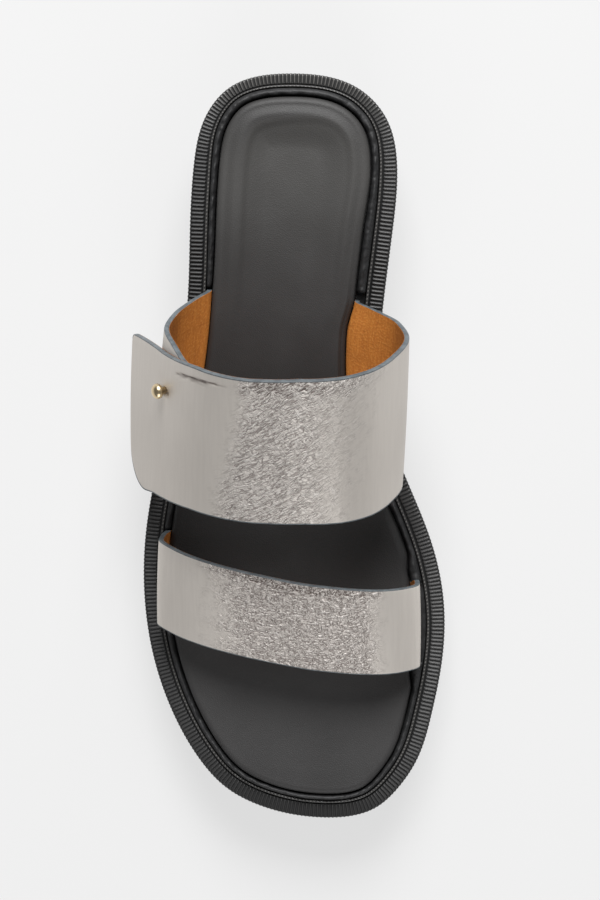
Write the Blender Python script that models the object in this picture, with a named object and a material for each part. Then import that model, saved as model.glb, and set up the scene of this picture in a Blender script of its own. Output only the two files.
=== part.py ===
"""Right-foot slide sandal: two leather straps over a padded footbed, on a welted sole with a low heel.

+X runs to the big-toe (medial) side, +Y to the back of the heel and +Z up. The origin is on the heel
lift's flat underside. A station is the share of the shoe's length, 0 at the heel's back and 1 at the
toe. Sizes are millimetres until a mesh is made.
"""

import math

import bmesh
import bpy
import numpy as np
from mathutils import Vector

MM = 0.001

# Overall sizes
LENGTH = 265.0
BALL_WIDTH = 107.5
HEEL_BACK = 34.0  # from the origin to the back of the heel
CLEAR = 0.3  # between pieces that meet

# Sole
HEEL_RISE = 13.5  # height of the outsole's underside over the heel
LIFT = 4.0
LIFT_INSET = 3.4
LIFT_CHAMFER = 0.6
HEEL_INSET = 2.6
HEEL_TAPER = 0.6  # how much further in the block stands at its foot
BREAST = 0.27  # station of the heel's front face
SEAT_END = 0.18  # station where the sole begins to fall from the heel
BALL_BACK = 0.57  # the underside is flat from here
BALL_FRONT = 0.73  # to here, then springs up
TOE_SPRING = 7.0
OUTSOLE = 4.5
OUTSOLE_INSET = 1.5
OUTSOLE_CHAMFER = 1.0
MIDSOLE = 8.5
MIDSOLE_INSET = 2.4
GROOVE_DEPTH = 0.9
GROOVE_HEIGHT = 1.6

# Welt: the ribbed band, a channel and a smooth bead inside it
BAND = 4.8
CHANNEL = 0.6
BEAD = 1.0
WELT = 4.0
WELT_EDGE = 0.7
CHANNEL_DEPTH = 0.8
CHANNEL_SLOPE = 0.2
BEAD_RISE = 0.7
WELT_WIDTH = BAND + CHANNEL + BEAD

# Insole and footbed
INSOLE = 2.2
FOOTBED_EDGE = 5.4  # height of the footbed's side
FOOTBED_ROUND = 2.2  # radius of its rolled edge
HEEL_CUP = 2.8
HEEL_CUP_FADE = (0.20, 0.40)  # stations between which the heel cup runs out
HEEL_CUP_WALL = 12.0  # width of the cup's sloping side
HEEL_RIM = 0.9
HEEL_RIM_FROM = 6.0  # how far the rim's crest stands in from the edge
ARCH_RISE = 2.6
ARCH_AT = (0.42, 0.13)  # station of its middle, and its spread
TOE_CREST = 1.2
CREST_AT = (0.80, 0.045)
EXTRA_EDGE = 0.9  # how much further the footbed's edge stands in where its table says 1
LESS_EDGE = 1.3  # and less far in round the heel and toe

# Straps
WALL = 1.8
SLOT_PLAY = 0.6  # width that a strap leaves free beside the bead
SLOT = WALL + 2 * CLEAR + SLOT_PLAY
FOOTBED_INSET = WELT_WIDTH + SLOT
STRAP_CROWN = 0.3

INSTEP = {
    "lateral_slot": (0.2855, 0.485),  # stations of the root, rear and front edge
    "lateral": (0.303, 0.499),  # stations of the widest point
    "medial": (0.304, 0.5065),
    "medial_slot": (0.2985, 0.500),
    "rise": (62.0, 45.0),  # ridge above the slot, rear and front edge
    "lean": (23.1, 21.6),  # how far the ridge lies forward of the roots
    "lateral_reach": (41.7, 47.0),  # widest points, measured from the shoe's line
    "medial_reach": (39.3, 36.8),
    "ridge": (5.0, 6.0),
}
FRONT = {
    "lateral_slot": (0.613, 0.727),
    "lateral": (0.613, 0.727),
    "medial": (0.667, 0.7785),
    "medial_slot": (0.681, 0.7945),
    "rise": (28.0, 21.0),
    "lean": (5.6, 6.7),
    "lateral_reach": (46.0, 46.9),
    "medial_reach": (42.8, 43.0),
    "ridge": (4.0, 6.0),
}
UNDER_END = 0.45  # the lower half ends here on the way round the instep
UNDER_TUCK = 2.6  # its rear edge is cut back this far where the upper half covers it
TUCK_FADE = (0.235, 0.305)
LIFT_END = 0.66  # the upper half is back down on the last here
FLAP_START = 0.235  # the flap leaves the lower half here
FLAP = (31.0, 15.5)  # length of the flap from there, along its rear and its front edge
FLAP_ROUND = 15.0  # radius of the flap's front corner
FLAP_CORNER = 1.5  # radius of its rear corner
FLAP_SWEEP = (13.6, 11.0)  # how far the flap's end swings forward, at its rear and its front edge
FLAP_SWEEP_FROM = 45.0  # distance from its end where it begins to
STUD_AROUND = 0.252
STUD_ACROSS = 0.302

# Stud
STUD_HEAD = 5.4  # diameter
STUD_HEIGHT = 3.8
STUD_NECK = 2.4
STUD_NECK_HEIGHT = 0.7
RIVET = 7.0
RIVET_THICK = 0.9
RIVET_EDGE = 0.6  # width of its rounded rim

# Fineness
ROWS = 44
HEEL_ROWS = 16
FOOTBED_COLUMNS = 10
AROUND = 44
ACROSS = 7
TURNED = 20
FLAP_SHARES = (0.0, 0.02, 0.08, 0.17, 0.29, 0.43, 0.60, 0.80)  # columns of the flap, from its end

# Half widths of the sole as shares of the ball width, heel to toe
OUTLINE = (
    # station, lateral, medial
    (0.020, 0.214, 0.212),
    (0.060, 0.291, 0.303),
    (0.120, 0.326, 0.337),
    (0.200, 0.339, 0.325),
    (0.300, 0.350, 0.294),
    (0.400, 0.386, 0.281),
    (0.500, 0.444, 0.328),
    (0.620, 0.500, 0.445),
    (0.700, 0.505, 0.491),
    (0.780, 0.478, 0.491),
    (0.860, 0.411, 0.455),
    (0.920, 0.326, 0.409),
    (0.960, 0.234, 0.344),
    (0.985, 0.115, 0.276),
)
HEEL_TIP = -0.008  # where the outline crosses the ends, as shares of the ball width
TOE_TIP = 0.096

# Extra inset of the footbed's edge: shares of EXTRA_EDGE, less the shares of LESS_EDGE. It stands in
# along the medial waist, and in a shallow notch at the front strap's medial root.
FOOTBED_LINE = (
    # station, lateral extra, medial extra, less
    (0.00, 0.0, 0.0, 1.0),
    (0.12, 0.2, 0.3, 0.3),
    (0.22, -0.1, 1.2, 0.0),
    (0.30, -0.6, 1.1, 0.0),
    (0.345, -0.4, 3.0, 0.0),
    (0.42, 0.0, 3.1, 0.0),
    (0.50, 0.0, 1.4, 0.0),
    (0.60, 0.0, 0.0, 0.0),
    (0.628, 0.0, 0.0, 0.0),
    (0.662, 0.0, 2.0, 0.0),
    (0.804, 0.0, 2.0, 0.0),
    (0.834, 0.0, 0.0, 0.0),
    (0.86, 0.0, 0.0, 0.0),
    (1.00, 0.0, 0.0, 0.3),
)

# Half of a strap's section, from its root to its ridge. The position across is the slot's, the widest
# point's and the ridge's, mixed by these shares; what slot and ridge leave is the widest point's.
# The lateral side leans forward later than it rises.
SECTION = (
    # around, slot, ridge, height, lateral lean, root
    (0.000, 1.00, 0.00, 0.000, 0.00, 1.0),
    (0.022, 1.00, 0.00, 0.020, 0.01, 0.0),
    (0.070, 0.66, 0.00, 0.110, 0.05, 0.0),
    (0.130, 0.18, 0.00, 0.250, 0.15, 0.0),
    (0.195, 0.00, 0.00, 0.430, 0.30, 0.0),
    (0.275, 0.00, 0.13, 0.670, 0.62, 0.0),
    (0.350, 0.00, 0.37, 0.870, 0.85, 0.0),
    (0.425, 0.00, 0.68, 0.970, 0.97, 0.0),
    (0.500, 0.00, 1.00, 1.000, 1.00, 0.0),
)

COLOURS = {
    # name: colour, roughness, metallic
    "sole_rubber": ((0.022, 0.022, 0.023), 0.62, 0.0),
    "welt_rubber": ((0.030, 0.030, 0.031), 0.50, 0.0),
    "black_leather": ((0.038, 0.036, 0.035), 0.55, 0.0),
    "metallic_leather": ((0.40, 0.37, 0.34), 0.38, 0.45),
    "gilt_metal": ((0.80, 0.62, 0.36), 0.22, 1.0),
}


def monotone(knots, values, at):
    """Cubic curve through a table's column that never passes the values on either side."""
    knots = np.asarray(knots, float)
    values = np.asarray(values, float)
    at = np.clip(at, knots[0], knots[-1])
    run = np.diff(knots)
    slope = np.diff(values) / run
    before = 2 * run[1:] + run[:-1]
    after = run[1:] + 2 * run[:-1]
    same_way = slope[:-1] * slope[1:] > 0
    safe_a = np.where(same_way, slope[:-1], 1.0)
    safe_b = np.where(same_way, slope[1:], 1.0)
    tangent = np.empty_like(values)
    tangent[1:-1] = np.where(same_way, (before + after) / (before / safe_a + after / safe_b), 0.0)
    tangent[0] = slope[0]
    tangent[-1] = slope[-1]
    piece = np.clip(np.searchsorted(knots, at, side="right") - 1, 0, len(run) - 1)
    part = (at - knots[piece]) / run[piece]
    flip = 1 - part
    return (
        values[piece] * flip**2 * (1 + 2 * part)
        + values[piece + 1] * part**2 * (3 - 2 * part)
        + run[piece] * tangent[piece] * part * flip**2
        - run[piece] * tangent[piece + 1] * part**2 * flip
    )


def smooth_step(value, start, end):
    """0 before start and 1 after end, with an even S between."""
    share = np.clip((value - start) / (end - start), 0.0, 1.0)
    return share * share * (3 - 2 * share)


def hump(station, place):
    """A bell of height 1 round a station; place holds its middle and its spread."""
    middle, spread = place
    return np.exp(-(((station - middle) / spread) ** 2))


def closed_curve(points, samples):
    """Samples of the periodic cubic spline through the points, by chord length."""
    points = np.asarray(points, float)
    count = len(points)
    ahead = np.roll(points, -1, axis=0)
    chord = np.linalg.norm(ahead - points, axis=1)
    step = (ahead - points) / chord[:, None]
    matrix = np.zeros((count, count))
    for i in range(count):
        matrix[i, i - 1] = chord[i - 1]
        matrix[i, i] = 2 * (chord[i - 1] + chord[i])
        matrix[i, (i + 1) % count] = chord[i]
    bend = np.linalg.solve(matrix, 6 * (step - np.roll(step, 1, axis=0)))
    start = np.concatenate([[0.0], np.cumsum(chord)])
    at = np.linspace(0.0, start[-1], samples, endpoint=False)
    piece = np.searchsorted(start, at, side="right") - 1
    a = (start[piece + 1] - at)[:, None]
    b = (at - start[piece])[:, None]
    h = chord[piece][:, None]
    follow = (piece + 1) % count
    return (
        (bend[piece] * a**3 + bend[follow] * b**3) / (6 * h)
        + (points[piece] / h - bend[piece] * h / 6) * a
        + (points[follow] / h - bend[follow] * h / 6) * b
    )


def station_y(station):
    return HEEL_BACK - np.asarray(station, float) * LENGTH


def y_station(y):
    return (HEEL_BACK - np.asarray(y, float)) / LENGTH


def outline_curve():
    """The sole's outline from above, from the heel's tip round the lateral side and back."""
    rows = np.array(OUTLINE)
    y = station_y(rows[:, 0])
    lateral = np.column_stack([-rows[:, 1] * BALL_WIDTH, y])
    medial = np.column_stack([rows[:, 2] * BALL_WIDTH, y])
    heel = np.array([[HEEL_TIP * BALL_WIDTH, station_y(0.0)]])
    toe = np.array([[TOE_TIP * BALL_WIDTH, station_y(1.0)]])
    return closed_curve(np.concatenate([heel, lateral, toe, medial[::-1]]), 1440)


CURVE = outline_curve()


def inward():
    """Unit normals of the outline that point into the shoe."""
    along = np.roll(CURVE, -1, axis=0) - np.roll(CURVE, 1, axis=0)
    along /= np.linalg.norm(along, axis=1)[:, None]
    return np.column_stack([-along[:, 1], along[:, 0]])


NORMALS = inward()


def footbed_line(extra=0.0):
    """Inset of the footbed's edge, plus extra, at each point of the outline."""
    station = y_station(CURVE[:, 1])
    table = np.array(FOOTBED_LINE)
    lateral = monotone(table[:, 0], table[:, 1], station)
    medial = monotone(table[:, 0], table[:, 2], station)
    less = monotone(table[:, 0], table[:, 3], station)
    toe = int(np.argmin(CURVE[:, 1]))
    side = np.where(np.arange(len(CURVE)) < toe, lateral, medial)
    return FOOTBED_INSET + EXTRA_EDGE * side - LESS_EDGE * less + extra


def halves(inset):
    """The lateral and the medial half of the outline moved in by inset, each from heel to toe."""
    curve = CURVE + NORMALS * np.reshape(inset, (-1, 1))
    heel = int(np.argmax(curve[:, 1]))
    curve = np.roll(curve, -heel, axis=0)
    toe = int(np.argmin(curve[:, 1]))
    lateral = curve[: toe + 1]
    medial = np.concatenate([curve[toe:], curve[:1]])[::-1]
    return lateral, medial


def side_x(half, y):
    """Where one half of an outline crosses the line at y."""
    return np.interp(-np.asarray(y, float), -half[:, 1], half[:, 0])


def edges(inset, rows, end=None):
    """Rows of points down both sides, close together at the tips; end is the station to stop at."""
    lateral, medial = halves(inset)
    turn = np.linspace(0.0, 1.0, rows + 1)
    heel_y = lateral[0, 1]
    if end is None:
        y = heel_y + (lateral[-1, 1] - heel_y) * (1 - np.cos(math.pi * turn)) / 2
    else:
        y = heel_y + (station_y(end) - heel_y) * (1 - np.cos(math.pi / 2 * turn))
    return np.column_stack([side_x(lateral, y), y]), np.column_stack([side_x(medial, y), y])


def rise(y):
    """Height of the outsole's underside: heel, then the flat under the ball, then the toe spring."""
    station = y_station(y)
    heel = HEEL_RISE * (1 - smooth_step(station, SEAT_END, BALL_BACK))
    toe = TOE_SPRING * (np.clip(station - BALL_FRONT, 0.0, None) / (1 - BALL_FRONT)) ** 1.8
    return heel + toe


OUTSOLE_TOP = OUTSOLE
MIDSOLE_BASE = OUTSOLE_TOP + CLEAR
MIDSOLE_TOP = MIDSOLE_BASE + MIDSOLE
WELT_BASE = MIDSOLE_TOP + CLEAR
SLOT_FLOOR = WELT_BASE + INSOLE
FOOTBED_BASE = SLOT_FLOOR + CLEAR
SLOT_TOP = WELT_BASE + WELT + BEAD_RISE


def level(z):
    """A height function: level at z."""
    return lambda x, y, share: 0 * y + z


def above(offset):
    """A height function: offset above the outsole's underside."""
    return lambda x, y, share: rise(y) + offset


def make_object(name, material, vertices, faces, angle=38.0):
    """An object from arrays in millimetres, its seams merged and its faces pointing out."""
    shape = bmesh.new()
    points = [shape.verts.new(Vector(v) * MM) for v in np.asarray(vertices, float)]
    for face in faces:
        shape.faces.new([points[i] for i in face])
    loose = [v for v in shape.verts if not v.link_faces]
    bmesh.ops.delete(shape, geom=loose, context="VERTS")
    bmesh.ops.remove_doubles(shape, verts=shape.verts, dist=1e-6)
    bmesh.ops.recalc_face_normals(shape, faces=shape.faces)
    mesh = bpy.data.meshes.new(name)
    shape.to_mesh(mesh)
    shape.free()
    mesh.shade_smooth()
    mesh.set_sharp_from_angle(angle=math.radians(angle))
    mesh.materials.append(material)
    item = bpy.data.objects.new(name, mesh)
    bpy.context.collection.objects.link(item)
    return item


def grid_faces(rows, columns, start):
    """Quads of a grid of vertices, row by row, whose first index is start."""
    faces = []
    for r in range(rows - 1):
        for c in range(columns - 1):
            a = start + r * columns + c
            faces.append((a, a + 1, a + columns + 1, a + columns))
    return faces


def grid_border(rows, columns):
    """Indices of a grid's border, once round."""
    down = [r * columns for r in range(rows)]
    across = [(rows - 1) * columns + c for c in range(1, columns)]
    up = [r * columns + columns - 1 for r in range(rows - 2, -1, -1)]
    back = [c for c in range(columns - 2, 0, -1)]
    return down + across + up + back


def ring_faces(border, lower, upper):
    """Quads between the borders of two grids whose first indices are lower and upper."""
    count = len(border)
    faces = []
    for i in range(count):
        a = border[i]
        b = border[(i + 1) % count]
        faces.append((lower + a, lower + b, upper + b, upper + a))
    return faces


def slab(name, material, levels, columns, angle=38.0):
    """A closed piece through levels, bottom to top; a level is its two edges and a height function."""
    grids = []
    for (lateral, medial), height in levels:
        share = np.linspace(0.0, 1.0, columns + 1)[None, :, None]
        flat = lateral[:, None, :] * (1 - share) + medial[:, None, :] * share
        z = height(flat[..., 0], flat[..., 1], share[..., 0] * np.ones(flat.shape[:2]))
        grids.append(np.dstack([flat, z]))
    rows = grids[0].shape[0]
    size = rows * (columns + 1)
    border = grid_border(rows, columns + 1)
    faces = grid_faces(rows, columns + 1, 0)
    faces += grid_faces(rows, columns + 1, (len(grids) - 1) * size)
    for level in range(len(grids) - 1):
        faces += ring_faces(border, level * size, (level + 1) * size)
    vertices = np.concatenate([g.reshape(-1, 3) for g in grids])
    return make_object(name, material, vertices, faces, angle)


def sheet_solid(name, material, inner, outer):
    """A closed wall between two grids of points."""
    rows, columns = inner.shape[:2]
    size = rows * columns
    faces = grid_faces(rows, columns, 0)
    faces += grid_faces(rows, columns, size)
    faces += ring_faces(grid_border(rows, columns), 0, size)
    vertices = np.concatenate([inner.reshape(-1, 3), outer.reshape(-1, 3)])
    return make_object(name, material, vertices, faces, 50.0)


def make_heel(materials):
    """The block under the outsole and the rubber lift under it, both flat below."""
    tread = edges(LIFT_INSET + LIFT_CHAMFER, HEEL_ROWS, BREAST - LIFT_CHAMFER / LENGTH)
    lift = edges(LIFT_INSET, HEEL_ROWS, BREAST)
    levels = [(tread, level(0.0)), (lift, level(LIFT_CHAMFER)), (lift, level(LIFT))]
    slab("heel_lift", materials["sole_rubber"], levels, 2)
    foot = edges(HEEL_INSET + HEEL_TAPER, HEEL_ROWS, BREAST)
    seat = edges(HEEL_INSET, HEEL_ROWS, BREAST + HEEL_TAPER / LENGTH)
    slab("heel", materials["sole_rubber"], [(foot, level(LIFT + CLEAR)), (seat, above(-CLEAR))], 2)


def make_outsole(materials):
    """Full-length sole, chamfered below, that springs up at the toe and over the heel."""
    low = edges(OUTSOLE_INSET + OUTSOLE_CHAMFER, ROWS)
    full = edges(OUTSOLE_INSET, ROWS)
    levels = [(low, above(0.0)), (full, above(OUTSOLE_CHAMFER)), (full, above(OUTSOLE_TOP))]
    slab("outsole", materials["sole_rubber"], levels, 2)


def make_midsole(materials):
    """The side wall of the sole, with one groove round it."""
    side = edges(MIDSOLE_INSET, ROWS)
    groove = edges(MIDSOLE_INSET + GROOVE_DEPTH, ROWS)
    middle = (MIDSOLE_BASE + MIDSOLE_TOP) / 2
    levels = [
        (side, above(MIDSOLE_BASE)),
        (side, above(middle - GROOVE_HEIGHT)),
        (groove, above(middle - GROOVE_HEIGHT / 2)),
        (groove, above(middle + GROOVE_HEIGHT / 2)),
        (side, above(middle + GROOVE_HEIGHT)),
        (side, above(MIDSOLE_TOP)),
    ]
    slab("midsole", materials["sole_rubber"], levels, 2, 28.0)


def make_welt(materials):
    """The rim: a flat band, a channel and a rounded bead, swept round the outline."""
    top = WELT_BASE + WELT
    inner = BAND + CHANNEL
    profile = (
        # inset, height above the underside
        (WELT_EDGE, WELT_BASE),
        (0.0, WELT_BASE + WELT_EDGE),
        (0.0, top - WELT_EDGE),
        (WELT_EDGE, top),
        (BAND, top),
        (BAND + CHANNEL_SLOPE, top - CHANNEL_DEPTH),
        (inner - CHANNEL_SLOPE, top - CHANNEL_DEPTH),
        (inner, top + BEAD_RISE / 2),
        (inner + BEAD / 2, top + BEAD_RISE),
        (inner + BEAD, top + BEAD_RISE / 2),
        (inner + BEAD, WELT_BASE),
    )
    loops = []
    for inset, height in profile:
        lateral, medial = edges(inset, ROWS)
        loop = np.concatenate([lateral, medial[-2:0:-1]])
        loops.append(np.column_stack([loop, rise(loop[:, 1]) + height]))
    count = len(loops[0])
    faces = []
    for p in range(len(profile)):
        low = p * count
        high = (p + 1) % len(profile) * count
        for i in range(count):
            j = (i + 1) % count
            faces.append((low + i, low + j, high + j, high + i))
    make_object("welt", materials["welt_rubber"], np.concatenate(loops), faces)


def make_insole(materials):
    """The wrapped board inside the welt; its rim is the floor of the straps' slot."""
    line = edges(WELT_WIDTH + CLEAR, ROWS)
    slab("insole", materials["black_leather"], [(line, above(WELT_BASE)), (line, above(SLOT_FLOOR))], 2)


def from_edge(x, y):
    """How far points lie inside the footbed's edge."""
    away = np.hypot(x[..., None] - CURVE[::4, 0], y[..., None] - CURVE[::4, 1])
    nearest = np.argmin(away, axis=-1)
    return np.clip(np.min(away, axis=-1) - footbed_line()[::4][nearest], 0.0, None)


def footbed_top(x, y, share):
    """Height of the padded top: cupped at the heel, raised at the arch and under the toes."""
    station = y_station(y)
    side = 2 * share - 1
    inside = from_edge(x, y)
    heel = 1 - smooth_step(station, *HEEL_CUP_FADE)
    dish = HEEL_CUP * smooth_step(inside, HEEL_RIM_FROM, HEEL_RIM_FROM + HEEL_CUP_WALL)
    rim = HEEL_RIM * smooth_step(inside, FOOTBED_ROUND, HEEL_RIM_FROM)
    arch = ARCH_RISE * hump(station, ARCH_AT) * smooth_step(side, 0.1, 0.9)
    crest = TOE_CREST * hump(station, CREST_AT) * (1 - side**2)
    return rise(y) + FOOTBED_BASE + FOOTBED_EDGE + heel * (rim - dish) + arch + crest


def make_footbed(materials):
    """The padded inner sole: an upright side, a rolled edge and a shaped top."""
    side = FOOTBED_BASE + FOOTBED_EDGE - FOOTBED_ROUND
    levels = [
        (edges(footbed_line(), ROWS), above(FOOTBED_BASE)),
        (edges(footbed_line(), ROWS), above(side)),
    ]
    for turn in (30.0, 60.0):
        out = FOOTBED_ROUND * (1 - math.cos(math.radians(turn)))
        up = FOOTBED_ROUND * math.sin(math.radians(turn))
        levels.append((edges(footbed_line(out), ROWS), above(side + up)))
    levels.append((edges(footbed_line(FOOTBED_ROUND), ROWS), footbed_top))
    slab("footbed", materials["black_leather"], levels, FOOTBED_COLUMNS)


def section_table():
    """The whole section from lateral root to medial root: around, five shares across, height, lean,
    root. On the medial side the lean goes with the height."""
    around, slot, ridge, height, lean, root = np.array(SECTION).T
    widest = 1 - slot - ridge
    none = 0 * slot
    lateral = np.column_stack([around, slot, widest, ridge, none, none, height, lean, root])
    medial = np.column_stack([1 - around, none, none, ridge, widest, slot, height, height, root])
    return np.concatenate([lateral, medial[-2::-1]])


WHOLE_SECTION = section_table()


def place_share(column, around):
    """A column of shares, each half by itself, so that the surface runs on evenly over the ridge."""
    ridge = len(SECTION)
    lateral = monotone(WHOLE_SECTION[:ridge, 0], WHOLE_SECTION[:ridge, column], around)
    medial = monotone(WHOLE_SECTION[ridge - 1 :, 0], WHOLE_SECTION[ridge - 1 :, column], around)
    return np.where(around < WHOLE_SECTION[ridge - 1, 0], lateral, medial)


def strap_point(sizes, around, across):
    """Points of a strap's inner face; around runs 0 to 1 from lateral root to medial root, across 0
    to 1 from rear to front edge."""
    around, across = np.broadcast_arrays(np.asarray(around, float), np.asarray(across, float))
    columns = [place_share(k, around) for k in range(1, 6)]
    height, lean, root = (monotone(WHOLE_SECTION[:, 0], WHOLE_SECTION[:, k], around) for k in (6, 7, 8))
    between = lambda name: sizes[name][0] + (sizes[name][1] - sizes[name][0]) * across
    lateral_slot_y = station_y(between("lateral_slot"))
    medial_slot_y = station_y(between("medial_slot"))
    lateral, medial = halves(footbed_line(-CLEAR))
    places = (
        (side_x(lateral, lateral_slot_y), lateral_slot_y),
        (-between("lateral_reach"), station_y(between("lateral"))),
        (between("ridge"), (lateral_slot_y + medial_slot_y) / 2),
        (between("medial_reach"), station_y(between("medial"))),
        (side_x(medial, medial_slot_y), medial_slot_y),
    )
    x = sum(columns[k] * places[k][0] for k in range(5))
    y = sum(columns[k] * places[k][1] for k in range(5))
    slot_z = sum(columns[k] * (rise(places[k][1]) + SLOT_TOP) for k in range(5))
    depth = SLOT_TOP - SLOT_FLOOR - CLEAR
    z = slot_z + between("rise") * height - depth * root
    return np.stack([x, y - between("lean") * lean, z], axis=-1)


def strap_frame(sizes, around, across):
    """Points of the inner face, with unit vectors around it, out of it and down to its front edge."""
    small = 0.004
    low = np.clip(around - small, 0, 1)
    high = np.clip(around + small, 0, 1)
    along = strap_point(sizes, high, across) - strap_point(sizes, low, across)
    down = strap_point(sizes, around, across + small) - strap_point(sizes, around, across - small)
    out = np.cross(down, along)
    along /= np.linalg.norm(along, axis=-1)[..., None]
    out /= np.linalg.norm(out, axis=-1)[..., None]
    down /= np.linalg.norm(down, axis=-1)[..., None]
    return strap_point(sizes, around, across), along, out, down


def crown(across):
    """Height of the slight cushion between a strap's edges."""
    return (STRAP_CROWN * 4 * across * (1 - across))[..., None]


def strap_grid(first, last):
    """Even columns around a strap, each a share of the way from lateral root to medial root."""
    around = np.linspace(0.0, 1.0, AROUND + 1)
    inside = around[(around > first + 0.002) & (around < last - 0.002)]
    return np.concatenate([[first], inside, [last]])


def root_fade(around):
    """0 at a root and 1 from the flare on, so that what is added to a strap stays out of its slot."""
    return smooth_step(np.minimum(around, 1 - around), 0.03, 0.14)[..., None]


def make_front_strap(materials):
    around, across = np.meshgrid(strap_grid(0.0, 1.0), np.linspace(0, 1, ACROSS), indexing="ij")
    point, _, out, _ = strap_frame(FRONT, around, across)
    inner = point + out * crown(across) * root_fade(around)
    return sheet_solid("strap_front", materials["metallic_leather"], inner, inner + out * WALL)


def instep_width():
    """Width of the instep strap where the flap leaves the lower half."""
    return np.linalg.norm(strap_point(INSTEP, FLAP_START, 1.0) - strap_point(INSTEP, FLAP_START, 0.0))


def make_under_strap(materials):
    around, share = np.meshgrid(strap_grid(0.0, UNDER_END), np.linspace(0, 1, ACROSS), indexing="ij")
    tuck = UNDER_TUCK / instep_width() * smooth_step(around, *TUCK_FADE)
    across = tuck + (1 - tuck) * share
    point, _, out, _ = strap_frame(INSTEP, around, across)
    inner = point + out * crown(across) * root_fade(around)
    return sheet_solid("strap_instep_under", materials["metallic_leather"], inner, inner + out * WALL)


def flap_limits(left):
    """Rear and front limit across the flap, at lengths left to its end; its corners are rounded."""
    cut = []
    for radius in (FLAP_CORNER, FLAP_ROUND):
        short = np.clip(radius - left, 0.0, radius)
        cut.append((radius - np.sqrt(radius**2 - short**2)) / instep_width())
    return cut[0], 1 - cut[1]


def flap_part(left, rows):
    """Places across the flap at lengths left to its end, and how far each swings forward."""
    rear, front = flap_limits(left)
    across = rear[:, None] + (front - rear)[:, None] * np.linspace(0.0, 1.0, rows)
    bend = np.clip(1 - left / FLAP_SWEEP_FROM, 0.0, 1.0) ** 1.5
    reach = FLAP_SWEEP[0] + (FLAP_SWEEP[1] - FLAP_SWEEP[0]) * across
    return across, (bend[:, None] * reach)[..., None]


def over_strap(body, tail, rows):
    """Inner face and normals of the upper half. body holds its places around the instep from the
    flap's start to the medial root, tail the shares of the flap from its end to its start."""
    length = sum(FLAP) / 2
    arc = strap_point(INSTEP, body, 0.5)
    left = length + np.concatenate([[0.0], np.cumsum(np.linalg.norm(np.diff(arc, axis=0), axis=1))])
    across, swing = flap_part(left, rows)
    around = np.broadcast_to(body[:, None], across.shape)
    point, _, out, down = strap_frame(INSTEP, around, across)
    over_under = (WALL + CLEAR) * (1 - smooth_step(around, UNDER_END + 0.02, LIFT_END))
    offset = crown(across) * root_fade(around) + over_under[..., None]
    body_inner = point + out * offset + down * swing
    across, swing = flap_part(tail * length, rows)
    point, along, tail_out, down = strap_frame(INSTEP, np.full(across.shape, FLAP_START), across)
    offset = crown(across) + WALL + CLEAR
    past = (1 - tail)[:, None] * (FLAP[0] + (FLAP[1] - FLAP[0]) * across)
    tail_inner = point + tail_out * offset + down * swing - along * past[..., None]
    return np.concatenate([tail_inner, body_inner]), np.concatenate([tail_out, out])


def make_over_strap(materials):
    inner, out = over_strap(strap_grid(FLAP_START, 1.0), np.array(FLAP_SHARES), ACROSS)
    return sheet_solid("strap_instep_over", materials["metallic_leather"], inner, inner + out * WALL)


def stud_seat():
    """Point on the instep strap's inner face and the outward direction of the stud's axis."""
    around = np.array([STUD_AROUND])
    across = np.array([STUD_ACROSS])
    point, _, out, _ = strap_frame(INSTEP, around, across)
    return (point + out * crown(across))[0], out[0]


def turned(name, material, profile):
    """A solid turned round +Z from rows of radius and height, the first and last on the axis."""
    rows = np.array(profile, float)
    turn = np.arange(TURNED) * 2 * math.pi / TURNED
    vertices = [(0.0, 0.0, rows[0, 1])]
    for radius, height in rows[1:-1]:
        vertices += [(radius * math.cos(t), radius * math.sin(t), height) for t in turn]
    vertices.append((0.0, 0.0, rows[-1, 1]))
    faces = []
    last = len(vertices) - 1
    for i in range(TURNED):
        j = (i + 1) % TURNED
        faces.append((0, 1 + j, 1 + i))
        for ring in range(len(rows) - 3):
            a = 1 + ring * TURNED
            faces.append((a + i, a + j, a + TURNED + j, a + TURNED + i))
        a = 1 + (len(rows) - 3) * TURNED
        faces.append((a + i, a + j, last))
    return make_object(name, material, vertices, faces, 30.0)


def place_on_seat(item):
    """Stand an object on the stud's axis, its origin on the strap's inner face."""
    point, out = stud_seat()
    item.location = Vector(point) * MM
    item.rotation_mode = "QUATERNION"
    item.rotation_quaternion = Vector(out).to_track_quat("Z", "Y")


def make_stud(materials, straps):
    """A domed stud riveted through the lower half, its neck in the flap's buttonhole."""
    shank = STUD_NECK / 2
    over_top = 2 * WALL + CLEAR
    base = over_top + STUD_NECK_HEIGHT
    head = STUD_HEAD / 2
    profile = [
        (0.0, -CLEAR - RIVET_THICK),
        (RIVET / 2 - RIVET_EDGE, -CLEAR - RIVET_THICK),
        (RIVET / 2, -CLEAR - RIVET_THICK / 2),
        (RIVET / 2, -CLEAR),
        (shank, -CLEAR),
        (shank, base),
        (head * 0.82, base + STUD_HEIGHT * 0.10),
        (head, base + STUD_HEIGHT * 0.36),
        (head * 0.93, base + STUD_HEIGHT * 0.62),
        (head * 0.66, base + STUD_HEIGHT * 0.86),
        (head * 0.30, base + STUD_HEIGHT * 0.98),
        (0.0, base + STUD_HEIGHT),
    ]
    place_on_seat(turned("stud", materials["gilt_metal"], profile))
    hole = shank + CLEAR
    ends = (-3 * WALL, 4 * WALL)
    drill = [(0.0, ends[0]), (hole, ends[0]), (hole, ends[1]), (0.0, ends[1])]
    cutter = turned("stud_hole", materials["gilt_metal"], drill)
    place_on_seat(cutter)
    cutter.hide_render = True
    cutter.display_type = "WIRE"
    for strap in straps:
        cut = strap.modifiers.new("stud hole", "BOOLEAN")
        cut.operation = "DIFFERENCE"
        cut.solver = "EXACT"
        cut.object = cutter


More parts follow.
